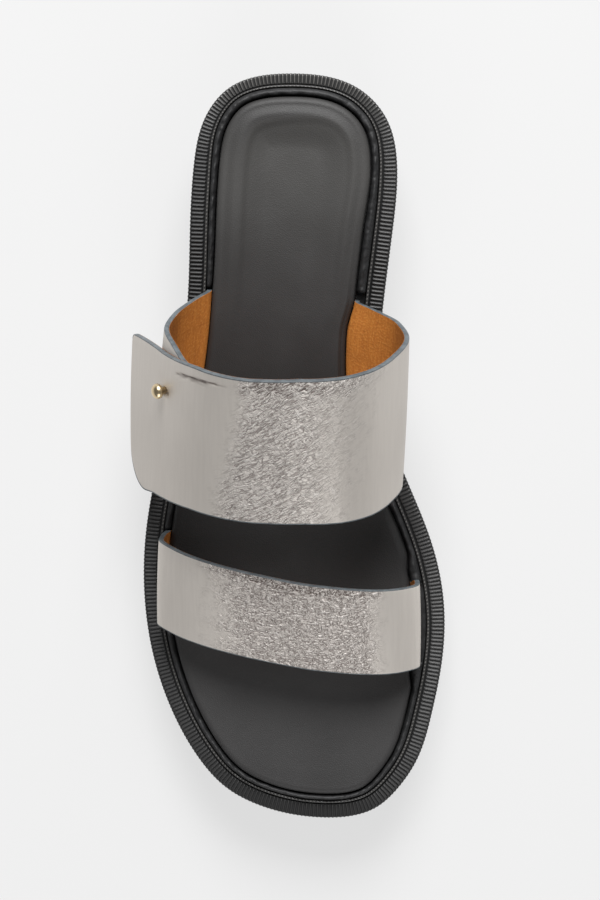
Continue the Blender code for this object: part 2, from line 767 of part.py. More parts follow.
def make_materials():
    made = {}
    for name, (colour, roughness, metallic) in COLOURS.items():
        material = bpy.data.materials.new(name)
        material.use_nodes = True
        shader = material.node_tree.nodes["Principled BSDF"]
        shader.inputs["Base Color"].default_value = (*colour, 1.0)
        shader.inputs["Roughness"].default_value = roughness
        shader.inputs["Metallic"].default_value = metallic
        made[name] = material
    return made


def main():
    for item in list(bpy.data.objects):
        bpy.data.objects.remove(item, do_unlink=True)
    materials = make_materials()
    make_heel(materials)
    make_outsole(materials)
    make_midsole(materials)
    make_welt(materials)
    make_insole(materials)
    make_footbed(materials)
    make_front_strap(materials)
    under = make_under_strap(materials)
    over = make_over_strap(materials)
    make_stud(materials, (under, over))


main()
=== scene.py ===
# %% [markdown]
# # A metallic slide sandal, dressed
#
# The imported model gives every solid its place. This lesson keeps those places and gives each piece the
# surface that a maker would: grained leather with painted edges, a ribbed rim, a padded footbed.
# Lengths are millimetres here and become metres only where a mesh is made.

# %% Load the fixed model
import math

import bmesh
import bpy
import numpy as np
from mathutils import Matrix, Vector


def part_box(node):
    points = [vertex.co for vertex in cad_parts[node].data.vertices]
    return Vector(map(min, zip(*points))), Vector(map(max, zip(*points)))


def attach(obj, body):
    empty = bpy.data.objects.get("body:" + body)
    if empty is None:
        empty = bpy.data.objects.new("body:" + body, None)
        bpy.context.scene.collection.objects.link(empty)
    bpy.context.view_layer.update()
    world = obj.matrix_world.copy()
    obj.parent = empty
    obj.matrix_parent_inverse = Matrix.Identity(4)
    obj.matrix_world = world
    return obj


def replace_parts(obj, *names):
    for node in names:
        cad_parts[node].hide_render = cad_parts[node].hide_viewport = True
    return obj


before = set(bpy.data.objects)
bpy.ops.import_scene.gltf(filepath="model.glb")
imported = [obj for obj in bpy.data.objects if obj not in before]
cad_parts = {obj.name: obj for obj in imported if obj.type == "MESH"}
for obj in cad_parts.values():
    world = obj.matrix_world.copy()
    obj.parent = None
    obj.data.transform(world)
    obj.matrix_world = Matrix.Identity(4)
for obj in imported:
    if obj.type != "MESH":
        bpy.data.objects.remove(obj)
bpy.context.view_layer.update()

MM = 0.001
BODY = "root"


def box_mm(node):
    """Lowest and highest corner of a node, in millimetres."""
    low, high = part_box(node)
    return np.array(low) / MM, np.array(high) / MM


# %% [markdown]
# ## Sizes
#
# A shoe is drawn from its last: length, ball width, and how high the sole lies at each station. A
# station is the share of the length, 0 at the back of the heel and 1 at the toe. The same few sizes
# made the solids, so pieces worked out from them meet the solids without fitting.

# %% Sizes of sole, rim and footbed
WELT_LOW, WELT_HIGH = box_mm("welt")
LENGTH = float(WELT_HIGH[1] - WELT_LOW[1])
HEEL_BACK = float(WELT_HIGH[1])
BALL_WIDTH = 107.5
CLEAR = 0.3

HEEL_RISE = 13.5
LIFT = 4.0
LIFT_INSET = 3.4
LIFT_CHAMFER = 0.6
HEEL_INSET = 2.6
HEEL_TAPER = 0.6
BREAST = 0.27
SEAT_END = 0.18
BALL_BACK = 0.57
BALL_FRONT = 0.73
TOE_SPRING = 7.0
OUTSOLE = 4.5
OUTSOLE_INSET = 1.5
OUTSOLE_CHAMFER = 1.0
MIDSOLE = 8.5
MIDSOLE_INSET = 2.4
GROOVE_DEPTH = 0.9
GROOVE_HEIGHT = 1.6

BAND = 4.8
CHANNEL = 0.6
BEAD = 1.0
WELT = 4.0
WELT_EDGE = 0.7
CHANNEL_DEPTH = 0.8
CHANNEL_SLOPE = 0.2
BEAD_RISE = 0.7
WELT_WIDTH = BAND + CHANNEL + BEAD

INSOLE = 2.2
FOOTBED_EDGE = 5.4
FOOTBED_ROUND = 2.2
HEEL_CUP = 2.8
HEEL_CUP_FADE = (0.20, 0.40)
HEEL_CUP_WALL = 12.0
HEEL_RIM = 0.9
HEEL_RIM_FROM = 6.0
ARCH_RISE = 2.6
ARCH_AT = (0.42, 0.13)
TOE_CREST = 1.2
CREST_AT = (0.80, 0.045)
EXTRA_EDGE = 0.9
LESS_EDGE = 1.3

WALL = 1.8
SLOT_PLAY = 0.6
SLOT = WALL + 2 * CLEAR + SLOT_PLAY
FOOTBED_INSET = WELT_WIDTH + SLOT
STRAP_CROWN = 0.3

WELT_BASE = OUTSOLE + CLEAR + MIDSOLE + CLEAR
MIDSOLE_BASE = OUTSOLE + CLEAR
MIDSOLE_TOP = MIDSOLE_BASE + MIDSOLE
SLOT_FLOOR = WELT_BASE + INSOLE
FOOTBED_BASE = SLOT_FLOOR + CLEAR
SLOT_TOP = WELT_BASE + WELT + BEAD_RISE
print("length %.1f mm, rim %.1f mm, slot %.1f mm" % (LENGTH, WELT_WIDTH, SLOT))

# %% Sizes of the straps
INSTEP = {
    "lateral_slot": (0.2855, 0.485),
    "lateral": (0.303, 0.499),
    "medial": (0.304, 0.5065),
    "medial_slot": (0.2985, 0.500),
    "rise": (62.0, 45.0),
    "lean": (23.1, 21.6),
    "lateral_reach": (41.7, 47.0),
    "medial_reach": (39.3, 36.8),
    "ridge": (5.0, 6.0),
}
FRONT = {
    "lateral_slot": (0.613, 0.727),
    "lateral": (0.613, 0.727),
    "medial": (0.667, 0.7785),
    "medial_slot": (0.681, 0.7945),
    "rise": (28.0, 21.0),
    "lean": (5.6, 6.7),
    "lateral_reach": (46.0, 46.9),
    "medial_reach": (42.8, 43.0),
    "ridge": (4.0, 6.0),
}
UNDER_END = 0.45
UNDER_TUCK = 2.6
TUCK_FADE = (0.235, 0.305)
LIFT_END = 0.66
FLAP_START = 0.235
FLAP = (31.0, 15.5)
FLAP_ROUND = 15.0
FLAP_CORNER = 1.5
FLAP_SWEEP = (13.6, 11.0)
FLAP_SWEEP_FROM = 45.0
STUD_AROUND = 0.252
STUD_ACROSS = 0.302

OUTLINE = (
    # station, lateral, medial
    (0.020, 0.214, 0.212),
    (0.060, 0.291, 0.303),
    (0.120, 0.326, 0.337),
    (0.200, 0.339, 0.325),
    (0.300, 0.350, 0.294),
    (0.400, 0.386, 0.281),
    (0.500, 0.444, 0.328),
    (0.620, 0.500, 0.445),
    (0.700, 0.505, 0.491),
    (0.780, 0.478, 0.491),
    (0.860, 0.411, 0.455),
    (0.920, 0.326, 0.409),
    (0.960, 0.234, 0.344),
    (0.985, 0.115, 0.276),
)
HEEL_TIP = -0.008
TOE_TIP = 0.096

FOOTBED_LINE = (
    # station, lateral extra, medial extra, less
    (0.00, 0.0, 0.0, 1.0),
    (0.12, 0.2, 0.3, 0.3),
    (0.22, -0.1, 1.2, 0.0),
    (0.30, -0.6, 1.1, 0.0),
    (0.345, -0.4, 3.0, 0.0),
    (0.42, 0.0, 3.1, 0.0),
    (0.50, 0.0, 1.4, 0.0),
    (0.60, 0.0, 0.0, 0.0),
    (0.628, 0.0, 0.0, 0.0),
    (0.662, 0.0, 2.0, 0.0),
    (0.804, 0.0, 2.0, 0.0),
    (0.834, 0.0, 0.0, 0.0),
    (0.86, 0.0, 0.0, 0.0),
    (1.00, 0.0, 0.0, 0.3),
)

SECTION = (
    # around, slot, ridge, height, lateral lean, root
    (0.000, 1.00, 0.00, 0.000, 0.00, 1.0),
    (0.022, 1.00, 0.00, 0.020, 0.01, 0.0),
    (0.070, 0.66, 0.00, 0.110, 0.05, 0.0),
    (0.130, 0.18, 0.00, 0.250, 0.15, 0.0),
    (0.195, 0.00, 0.00, 0.430, 0.30, 0.0),
    (0.275, 0.00, 0.13, 0.670, 0.62, 0.0),
    (0.350, 0.00, 0.37, 0.870, 0.85, 0.0),
    (0.425, 0.00, 0.68, 0.970, 0.97, 0.0),
    (0.500, 0.00, 1.00, 1.000, 1.00, 0.0),
)
print("strap wall %.1f mm, flap %.0f to %.0f mm" % (WALL, FLAP[1], FLAP[0]))

# %% [markdown]
# ## Curves
#
# Three small tools shape everything below: a curve through a table that never overshoots, an even S
# step, and a closed curve for the outline. They could be Blender curves; as functions of whole arrays
# they give the same points to every piece that must meet.


# %% Curves through tables
def monotone(knots, values, at):
    """Cubic Hermite through the rows of a table, with harmonic-mean slopes, so it never passes the
    values on either side."""
    knots = np.asarray(knots, float)
    values = np.asarray(values, float)
    at = np.clip(at, knots[0], knots[-1])
    run = np.diff(knots)
    slope = np.diff(values) / run
    before = 2 * run[1:] + run[:-1]
    after = run[1:] + 2 * run[:-1]
    same_way = slope[:-1] * slope[1:] > 0
    safe_a = np.where(same_way, slope[:-1], 1.0)
    safe_b = np.where(same_way, slope[1:], 1.0)
    tangent = np.empty_like(values)
    tangent[1:-1] = np.where(same_way, (before + after) / (before / safe_a + after / safe_b), 0.0)
    tangent[0] = slope[0]
    tangent[-1] = slope[-1]
    piece = np.clip(np.searchsorted(knots, at, side="right") - 1, 0, len(run) - 1)
    part = (at - knots[piece]) / run[piece]
    flip = 1 - part
    return (
        values[piece] * flip**2 * (1 + 2 * part)
        + values[piece + 1] * part**2 * (3 - 2 * part)
        + run[piece] * tangent[piece] * part * flip**2
        - run[piece] * tangent[piece + 1] * part**2 * flip
    )


def smooth_step(value, start, end):
    """3t^2 - 2t^3 of the share t of the way from start to end, held at 0 and 1 outside."""
    share = np.clip((value - start) / (end - start), 0.0, 1.0)
    return share * share * (3 - 2 * share)


def hump(station, place):
    """exp(-((station - middle) / spread)^2)."""
    middle, spread = place
    return np.exp(-(((station - middle) / spread) ** 2))


def unit(vectors):
    """Each vector over its length."""
    return vectors / np.linalg.norm(vectors, axis=-1)[..., None]


def run_along(points):
    """Distance along a row of points, from 0 at the first."""
    return np.concatenate([[0.0], np.cumsum(np.linalg.norm(np.diff(points, axis=0), axis=1))])


def closed_curve(points, samples):
    """Periodic cubic spline by chord length: second derivatives from one linear system."""
    points = np.asarray(points, float)
    count = len(points)
    ahead = np.roll(points, -1, axis=0)
    chord = np.linalg.norm(ahead - points, axis=1)
    step = (ahead - points) / chord[:, None]
    here = np.arange(count)
    matrix = np.zeros((count, count))
    matrix[here, here - 1] = np.roll(chord, 1)
    matrix[here, here] = 2 * (chord + np.roll(chord, 1))
    matrix[here, (here + 1) % count] = chord
    bend = np.linalg.solve(matrix, 6 * (step - np.roll(step, 1, axis=0)))
    start = np.concatenate([[0.0], np.cumsum(chord)])
    at = np.linspace(0.0, start[-1], samples, endpoint=False)
    piece = np.searchsorted(start, at, side="right") - 1
    a = (start[piece + 1] - at)[:, None]
    b = (at - start[piece])[:, None]
    h = chord[piece][:, None]
    follow = (piece + 1) % count
    return (
        (bend[piece] * a**3 + bend[follow] * b**3) / (6 * h)
        + (points[piece] / h - bend[piece] * h / 6) * a
        + (points[follow] / h - bend[follow] * h / 6) * b
    )


def lattice_noise(x, y, seed):
    """Value noise: random heights on whole numbers, blended with 3t^2 - 2t^3; wraps every 256."""
    table = np.random.default_rng(seed).uniform(-1.0, 1.0, (256, 256))
    left = np.floor(x).astype(int)
    low = np.floor(y).astype(int)
    across = smooth_step(x - left, 0.0, 1.0)
    up = smooth_step(y - low, 0.0, 1.0)
    pick = lambda i, j: table[(left + i) % 256, (low + j) % 256]
    near = pick(0, 0) * (1 - across) + pick(1, 0) * across
    far = pick(0, 1) * (1 - across) + pick(1, 1) * across
    return near * (1 - up) + far * up


# %% [markdown]
# ## The outline and the sole's rise
#
# Seen from above the sole is one closed curve. Rim, channel, bead, slot and footbed are the same curve
# moved inwards, so one function of an inset serves them all. From the side every layer follows the
# underside: up over the heel, flat under the ball, and up again at the toe.


# %% Outline, insets and rise
def station_y(station):
    """The back of the heel less the station's share of the length."""
    return HEEL_BACK - np.asarray(station, float) * LENGTH


def y_station(y):
    """The share of the length from the back of the heel to y."""
    return (HEEL_BACK - np.asarray(y, float)) / LENGTH


def outline_curve(samples):
    """Closed curve through the table's half widths, from the heel's tip down the lateral side."""
    rows = np.array(OUTLINE)
    y = station_y(rows[:, 0])
    lateral = np.column_stack([-rows[:, 1] * BALL_WIDTH, y])
    medial = np.column_stack([rows[:, 2] * BALL_WIDTH, y])
    heel = np.array([[HEEL_TIP * BALL_WIDTH, station_y(0.0)]])
    toe = np.array([[TOE_TIP * BALL_WIDTH, station_y(1.0)]])
    return closed_curve(np.concatenate([heel, lateral, toe, medial[::-1]]), samples)


def inward(curve):
    """Unit normals into the shoe: the tangent turned a quarter."""
    along = unit(np.roll(curve, -1, axis=0) - np.roll(curve, 1, axis=0))
    return np.column_stack([-along[:, 1], along[:, 0]])


def footbed_line(curve, extra=0.0):
    """Inset of the footbed's edge at each point of the outline, plus extra."""
    station = y_station(curve[:, 1])
    table = np.array(FOOTBED_LINE)
    lateral, medial, less = (monotone(table[:, 0], table[:, k], station) for k in (1, 2, 3))
    toe = int(np.argmin(curve[:, 1]))
    side = np.where(np.arange(len(curve)) < toe, lateral, medial)
    return FOOTBED_INSET + EXTRA_EDGE * side - LESS_EDGE * less + extra


def rise(y):
    """Underside: the heel's height falling in an even S, then the toe's spring as a power curve."""
    station = y_station(y)
    heel = HEEL_RISE * (1 - smooth_step(station, SEAT_END, BALL_BACK))
    toe = TOE_SPRING * (np.clip(station - BALL_FRONT, 0.0, None) / (1 - BALL_FRONT)) ** 1.8
    return heel + toe


def even_curve(samples):
    """The outline at even steps of its length, and that length."""
    fine = outline_curve(5760)
    around = np.concatenate([fine, fine[:1]])
    length = run_along(around)
    at = np.linspace(0.0, length[-1], samples, endpoint=False)
    points = np.column_stack([np.interp(at, length, around[:, k]) for k in (0, 1)])
    return points, float(length[-1])


def swept(curve, inset):
    """Points at the insets of a profile, at every point of the curve."""
    return curve[:, None] + inward(curve)[:, None] * inset[..., None]


CURVE = outline_curve(1440)
NORMALS = inward(CURVE)
PERIMETER = even_curve(1440)[1]
print("outline %.0f mm round, %.1f mm wide" % (PERIMETER, np.ptp(CURVE[:, 0])))


# %% Rows of points down both sides
def halves(inset):
    """Lateral and medial half of the outline moved in by inset, each from heel to toe."""
    curve = CURVE + NORMALS * np.reshape(inset, (-1, 1))
    heel = int(np.argmax(curve[:, 1]))
    curve = np.roll(curve, -heel, axis=0)
    toe = int(np.argmin(curve[:, 1]))
    return curve[: toe + 1], np.concatenate([curve[toe:], curve[:1]])[::-1]


def side_x(half, y):
    """Where a half of the outline lies at y."""
    return np.interp(-np.asarray(y, float), -half[:, 1], half[:, 0])


def edges(inset, rows, end=None):
    """Points down both sides at cosine steps, close together at the tips, to the station end."""
    lateral, medial = halves(inset)
    turn = np.linspace(0.0, 1.0, rows + 1)
    heel_y = lateral[0, 1]
    if end is None:
        y = heel_y + (lateral[-1, 1] - heel_y) * (1 - np.cos(math.pi * turn)) / 2
    else:
        y = heel_y + (station_y(end) - heel_y) * (1 - np.cos(math.pi / 2 * turn))
    return np.column_stack([side_x(lateral, y), y]), np.column_stack([side_x(medial, y), y])


def level(z):
    """Height function: the same everywhere."""
    return lambda x, y, share: 0 * y + z


def above(offset):
    """Height function: the underside's rise and an offset."""
    return lambda x, y, share: rise(y) + offset


# %% [markdown]
# ## Meshes from arrays
#
# A surface is a grid of points, and its faces are index arithmetic. Blender reads both straight from
# numpy. A closed piece has two grids, or a grid that wraps, and is turned right side out by the sign
# of its volume. Each piece then rides on the model's one body.


# %% Grid faces and piece maker
def grid_quads(rows, columns, start=0, wrap_rows=False, wrap_columns=False):
    """Corner indices of a grid's quads, as one array of four columns."""
    r = np.arange(rows if wrap_rows else rows - 1)[:, None]
    c = np.arange(columns if wrap_columns else columns - 1)[None, :]
    r2 = (r + 1) % rows
    c2 = (c + 1) % columns
    corners = (r * columns + c, r * columns + c2, r2 * columns + c2, r2 * columns + c)
    return start + np.stack(corners, axis=-1).reshape(-1, 4)


def border(rows, columns):
    """Indices of a grid's border, once round."""
    down = np.arange(rows) * columns
    across = (rows - 1) * columns + np.arange(1, columns)
    up = np.arange(rows - 2, -1, -1) * columns + columns - 1
    back = np.arange(columns - 2, 0, -1)
    return np.concatenate([down, across, up, back])


def band_quads(loop, lower, upper):
    """Quads between two loops of the same indices, counted from lower and from upper."""
    after = np.roll(loop, -1)
    return np.column_stack([lower + loop, lower + after, upper + after, upper + loop])


def two_sided(inner, outer):
    """Vertices and quads of the closed wall between two grids of the same size."""
    rows, columns = inner.shape[:2]
    size = rows * columns
    quads = [grid_quads(rows, columns), grid_quads(rows, columns, size)[:, ::-1]]
    quads.append(band_quads(border(rows, columns), 0, size)[:, ::-1])
    return np.concatenate([inner.reshape(-1, 3), outer.reshape(-1, 3)]), np.concatenate(quads)


def signed_volume(vertices, quads):
    """Sum of the tetrahedra from the origin to each half quad."""
    a, b, c, d = (vertices[quads[:, k]] for k in range(4))
    first = np.einsum("ij,ij->i", a, np.cross(b, c)).sum()
    return (first + np.einsum("ij,ij->i", a, np.cross(c, d)).sum()) / 6


def add(name, data):
    """An object of the data, in the scene."""
    thing = bpy.data.objects.new(name, data)
    bpy.context.scene.collection.objects.link(thing)
    return thing


def make_piece(name, vertices, quads, material, uv=None, values=None, merge=False, sharp=None):
    """A mesh object of quads, in metres, outwards, with its map and values, riding on the body."""
    vertices = np.asarray(vertices, float)
    if signed_volume(vertices, quads) < 0:
        quads = quads[:, ::-1]
    mesh = bpy.data.meshes.new(name)
    mesh.vertices.add(len(vertices))
    mesh.vertices.foreach_set("co", (vertices * MM).astype(np.float32).ravel())
    mesh.loops.add(quads.size)
    mesh.loops.foreach_set("vertex_index", quads.astype(np.int32).ravel())
    mesh.polygons.add(len(quads))
    mesh.polygons.foreach_set("loop_start", np.arange(0, quads.size, 4, dtype=np.int32))
    mesh.update(calc_edges=True)
    if uv is not None:
        layer = mesh.uv_layers.new(name="flat")
        layer.data.foreach_set("uv", uv[quads.ravel()].astype(np.float32).ravel())
    for label, amounts in (values or {}).items():
        attribute = mesh.attributes.new(label, "FLOAT", "POINT")
        attribute.data.foreach_set("value", np.asarray(amounts, np.float32).ravel())
    if merge:
        shape = bmesh.new()
        shape.from_mesh(mesh)
        bmesh.ops.remove_doubles(shape, verts=shape.verts, dist=1e-6)
        bmesh.ops.recalc_face_normals(shape, faces=shape.faces)
        shape.to_mesh(mesh)
        shape.free()
    mesh.shade_smooth()
    if sharp is not None:
        mesh.set_sharp_from_angle(angle=math.radians(sharp))
    mesh.materials.append(material)
    piece = add(name, mesh)
    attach(piece, BODY)
    print("%-24s %6d quads" % (name, len(quads)))
    return piece


def make_ring(name, points, material, values=None):
    """A closed piece from a grid of points that wraps both ways."""
    quads = grid_quads(*points.shape[:2], wrap_rows=True, wrap_columns=True)
    return make_piece(name, points.reshape(-1, 3), quads, material, values=values)


def slab(name, material, levels, columns, sharp=38.0, values=None):
    """A closed piece through levels, each two edges and a height function of x, y and share across;
    values gives its values from the vertices."""
    grids = []
    for (lateral, medial), height in levels:
        share = np.linspace(0.0, 1.0, columns + 1)[None, :, None]
        flat = lateral[:, None, :] * (1 - share) + medial[:, None, :] * share
        z = height(flat[..., 0], flat[..., 1], share[..., 0] * np.ones(flat.shape[:2]))
        grids.append(np.dstack([flat, z]))
    rows = grids[0].shape[0]
    size = rows * (columns + 1)
    loop = border(rows, columns + 1)
    last = (len(grids) - 1) * size
    quads = [grid_quads(rows, columns + 1)[:, ::-1], grid_quads(rows, columns + 1, last)]
    quads += [band_quads(loop, k * size, (k + 1) * size) for k in range(len(grids) - 1)]
    quads = np.concatenate(quads)
    used, quads = np.unique(quads, return_inverse=True)
    vertices = np.concatenate([g.reshape(-1, 3) for g in grids])[used]
    amounts = values(vertices) if values else None
    quads = quads.reshape(-1, 4)
    return make_piece(name, vertices, quads, material, values=amounts, merge=True, sharp=sharp)


# %% [markdown]
# ## Materials as sums
#
# A shader is arithmetic on fields over the surface. The class below wraps a node's socket, so a line
# such as `grain * 0.4 + dust` adds the Math nodes by itself. Colours go through Mix nodes, because a
# Math node would turn them grey.


# %% Shader fields and the material maker
class Field:
    """A socket that can be added, multiplied and so on; each operation adds one Math node."""

    def __init__(self, paint, socket):
        self.paint = paint
        self.socket = socket

    def math(self, operation, *others, **settings):
        """One Math node of this value and the others."""
        settings = {"operation": operation, **settings}
        return self.paint.node("ShaderNodeMath", settings, dict(enumerate((self, *others))))

    def __add__(self, other):
        return self.math("ADD", other)

    __radd__ = __add__

    def __mul__(self, other):
        return self.math("MULTIPLY", other)

    __rmul__ = __mul__

    def __sub__(self, other):
        return self.math("SUBTRACT", other)

    def __rsub__(self, other):
        return (self * -1.0).math("ADD", other)

    def clamp(self):
        """Held between 0 and 1."""
        return self.math("ADD", 0.0, use_clamp=True)

    def step(self, start, end):
        """Even S from 0 at start to 1 at end."""
        settings = {"interpolation_type": "SMOOTHSTEP"}
        sockets = {"Value": self, "From Min": start, "From Max": end}
        return self.paint.node("ShaderNodeMapRange", settings, sockets, "Result")


class Paint:
    def __init__(self, name):
        self.material = bpy.data.materials.new(name)
        self.material.use_nodes = True
        self.tree = self.material.node_tree
        self.shader = self.tree.nodes["Principled BSDF"]

    def node(self, kind, settings, sockets, output=0):
        """A node of a type: its settings first, then values or links of its sockets."""
        made = self.tree.nodes.new(kind)
        for key, value in settings.items():
            setattr(made, key, value)
        for key, value in sockets.items():
            self.set(made.inputs[key], value)
        return Field(self, made.outputs[output])

    def set(self, socket, value):
        """Link a field to the socket, or set its value."""
        if isinstance(value, Field):
            self.tree.links.new(value.socket, socket)
        else:
            socket.default_value = value

    def place(self):
        """Where the point lies in the model, in metres."""
        return self.node("ShaderNodeTexCoord", {}, {}, "Object")

    def flat(self):
        """The strap's flat map."""
        return self.node("ShaderNodeUVMap", {"uv_map": "flat"}, {})

    def value(self, name):
        """One of the mesh's own values."""
        return self.node("ShaderNodeAttribute", {"attribute_name": name}, {}, "Fac")

    def mapped(self, vector, scale, turn=0.0):
        """The vector scaled, and then turned by degrees."""
        sockets = {"Vector": vector, "Scale": scale, "Rotation": (0.0, 0.0, math.radians(turn))}
        return self.node("ShaderNodeMapping", {}, sockets)

    def drawn_out(self, vector, turn, stretch):
        """The vector turned by degrees and then stretched."""
        return self.mapped(self.mapped(vector, (1.0, 1.0, 1.0), turn), stretch)

    def noise(self, vector, scale, detail=3.0, roughness=0.5):
        """Fractal noise about 0.5."""
        sockets = {"Vector": vector, "Scale": scale, "Detail": detail, "Roughness": roughness}
        return self.node("ShaderNodeTexNoise", {}, sockets, "Fac")

    def warped(self, vector, scale, amount):
        """The vector pushed about by a coloured noise."""
        push = self.node("ShaderNodeTexNoise", {}, {"Vector": vector, "Scale": scale}, "Color")
        sockets = {0: push, 1: (amount, amount, amount), 2: vector}
        return self.node("ShaderNodeVectorMath", {"operation": "MULTIPLY_ADD"}, sockets)

    def cells(self, vector, scale):
        """Distance to the border between cells."""
        settings = {"feature": "DISTANCE_TO_EDGE"}
        sockets = {"Vector": vector, "Scale": scale}
        return self.node("ShaderNodeTexVoronoi", settings, sockets, "Distance")

    def blend(self, factor, first, second):
        """Mix of two colours."""
        settings = {"data_type": "RGBA"}
        sockets = {0: factor, 6: first, 7: second}
        return self.node("ShaderNodeMix", settings, sockets, 2)

    def skin(self, tone, roughness, height, depth, metallic=0.0):
        """The material with its surface set; depth is the bump's, in metres."""
        bump = self.node("ShaderNodeBump", {}, {"Height": height, "Distance": depth, "Strength": 1.0})
        sockets = {"Base Color": tone, "Roughness": roughness, "Metallic": metallic, "Normal": bump}
        return self.finish(sockets)

    def finish(self, sockets):
        """Set the surface's sockets and hand over the material."""
        for key, value in sockets.items():
            self.set(self.shader.inputs[key], value)
        return self.material


def colour(red, green, blue):
    """Linear colour from the eight-bit values that a picture would show."""
    channel = lambda v: v / 12.92 if v <= 0.04045 else ((v + 0.055) / 1.055) ** 2.4
    return (channel(red / 255), channel(green / 255), channel(blue / 255), 1.0)


# %% [markdown]
# ## Metallic leather
#
# The straps are pewter-coloured foil on grained leather. The crests get a painted glint and the creases
# painted shade, most of all over the ridge of the foot, where the leather was tumbled; the sides are
# smooth. A picture of leather could be mapped on. Here the creases are the thin lines where a stretched
# noise passes one height, with a second noise stretched across it, in the strap's own flat map, so they
# run with the strap and stay at their real size. The value "grain" says where they are.


# %% Pewter leather
MAP_SIZE = 100.0  # millimetres of strap to one unit of the flat map
CROSSING = 78.0  # degrees between the strokes and those across them


def pewter_leather(name, slant, scale, stretch, crossed, plain, gathered, glitter):
    """Foil over tumbled grain. slant turns its strokes, scale sets how many there are, stretch how long
    they are and crossed how dark those across them are; plain and gathered are the tones of the smooth
    and the creased leather, gathered being set darker on the front strap as painted shade over its
    middle, and glitter is how strongly a painted highlight lightens the crests between the creases.
    The creases and the hollows of deep creases and of the stud's hole get painted shade."""
    paint = Paint(name)
    flat = paint.flat()
    hollow_shade = paint.value("hollow_shade")
    loose = paint.warped(flat, 24.0, 0.003)
    strokes = paint.drawn_out(loose, slant, stretch)
    crossing = paint.drawn_out(loose, slant - CROSSING, stretch)
    ragged = (paint.noise(flat, 26.0, 3.0) - 0.5) * 0.7
    grain = paint.value("grain")
    drawn = (grain + ragged).step(0.08, 0.92)
    deep = grain.step(1.05, 1.7)
    wave = paint.noise(strokes, scale, 1.5, 0.5)
    other = paint.noise(crossing, scale, 1.5, 0.5)
    thread = 1 - (wave - 0.48).math("ABSOLUTE").step(0.015, 0.075)
    across = 1 - (other - 0.48).math("ABSOLUTE").step(0.01, 0.06)
    broken = (paint.noise(strokes, scale * 0.7, 1.0) + deep * 0.10).step(0.36, 0.50)
    crease = ((thread * broken).math("MAXIMUM", across * crossed) * drawn).clamp()
    glint = wave.step(0.56, 0.70) * drawn
    hair = paint.noise(paint.mapped(flat, (10.0, 0.7, 1.0)), 9.0, 3.0, 0.6)
    fine = paint.noise(flat, 210.0, 3.0, 0.6)
    slow = paint.noise(flat, 2.4, 1.0).step(0.3, 0.7)
    lighter = (v + 6 for v in plain)
    tone = paint.blend(slow, colour(*plain), colour(*lighter))
    tone = paint.blend(hair.step(0.35, 0.65) * 0.12, tone, colour(178, 171, 165))
    # the creased leather's tone; on the front strap it is partly painted shade over the strap's middle
    tone = paint.blend(drawn * 0.75, tone, colour(*gathered))
    # painted highlight: the crests between the creases are lightened towards near white
    tone = paint.blend(glint * glitter, tone, colour(232, 228, 224))
    # painted shade: the grain's creases, more near the rear edge, and the hollows of deep creases and of
    # the stud's hole are darkened
    dark = (crease * (0.64 + deep * 0.30) + hollow_shade * 0.85).clamp()
    tone = paint.blend(dark, tone, colour(100, 89, 84))
    height = (wave - crease * 0.8 + glint * 0.3) * drawn - hollow_shade * 0.7 + fine * 0.06 + hair * 0.03
    return paint.skin(tone, 0.48 + fine * 0.10, height, 0.00042, 0.60)


# %% Tan lining and painted edge
def tan_lining():
    """Undyed split: warm tan, matt, with faint fibres across the strap and a fine pebble."""
    paint = Paint("tan_lining")
    flat = paint.flat()
    fibre = paint.noise(paint.mapped(flat, (46.0, 5.0, 1.0)), 2.2, 3.0, 0.6)
    mottle = paint.noise(flat, 16.0, 3.0)
    pebble = paint.noise(flat, 120.0, 2.0)
    tone = paint.blend(fibre.step(0.25, 0.75), colour(168, 99, 33), colour(186, 116, 43))
    tone = paint.blend(mottle.step(0.45, 0.75) * 0.35, tone, colour(140, 78, 22))
    tone = paint.blend(pebble.step(0.50, 0.62) * 0.30, tone, colour(212, 146, 72))
    return paint.skin(tone, 0.72, fibre * 0.4 + pebble, 0.00014)


def edge_paint():
    """Blue-grey edge dressing: a smooth lacquer with slight waves."""
    paint = Paint("edge_paint")
    wave = paint.noise(paint.place(), 420.0, 2.0)
    tone = paint.blend(wave.step(0.35, 0.7), colour(74, 80, 84), colour(92, 99, 103))
    return paint.skin(tone, 0.42, wave, 0.0001)


# %% [markdown]
# ## Black leather, rubber and gilt
#
# The footbed is fine matt calf, the rand that shows in the slot is the same leather pulled tight, and
# the rim is rubber. All three are nearly black, so it is gloss and bump that tell them apart.


# %% Footbed, rand, rubber and gilt
def footbed_leather():
    """Matt black calf with fine pores; its value 'rim' lightens the heel as painted light, and a
    second value darkens it under and between the straps and towards the toe as painted shade.
    """
    paint = Paint("footbed_leather")
    place = paint.place()
    pores = paint.cells(paint.warped(place, 900.0, 0.0004), 1500.0)
    cloud = paint.noise(place, 34.0, 3.0)
    tone = paint.blend(cloud.step(0.3, 0.7), colour(44, 43, 43), colour(51, 50, 50))
    # painted light on the heel's rim and cup
    tone = paint.blend(paint.value("rim"), tone, colour(70, 69, 67))
    # painted shade under and between the straps and towards the toe
    tone = paint.blend(paint.value("covered"), tone, colour(14, 13, 13))
    height = pores.step(0.0, 0.3) * 0.3 + paint.noise(place, 420.0, 3.0) * 0.4
    return paint.skin(tone, 0.56 + cloud * 0.10, height, 0.00010)


def rand_leather():
    """The same leather pulled tight over the board, with the pull's fine creases."""
    paint = Paint("rand_leather")
    place = paint.place()
    pull = paint.noise(place, 300.0, 3.0, 0.6)
    tone = paint.blend(pull.step(0.35, 0.7), colour(22, 22, 23), colour(42, 42, 43))
    return paint.skin(tone, 0.54 + pull * 0.12, pull, 0.00025)


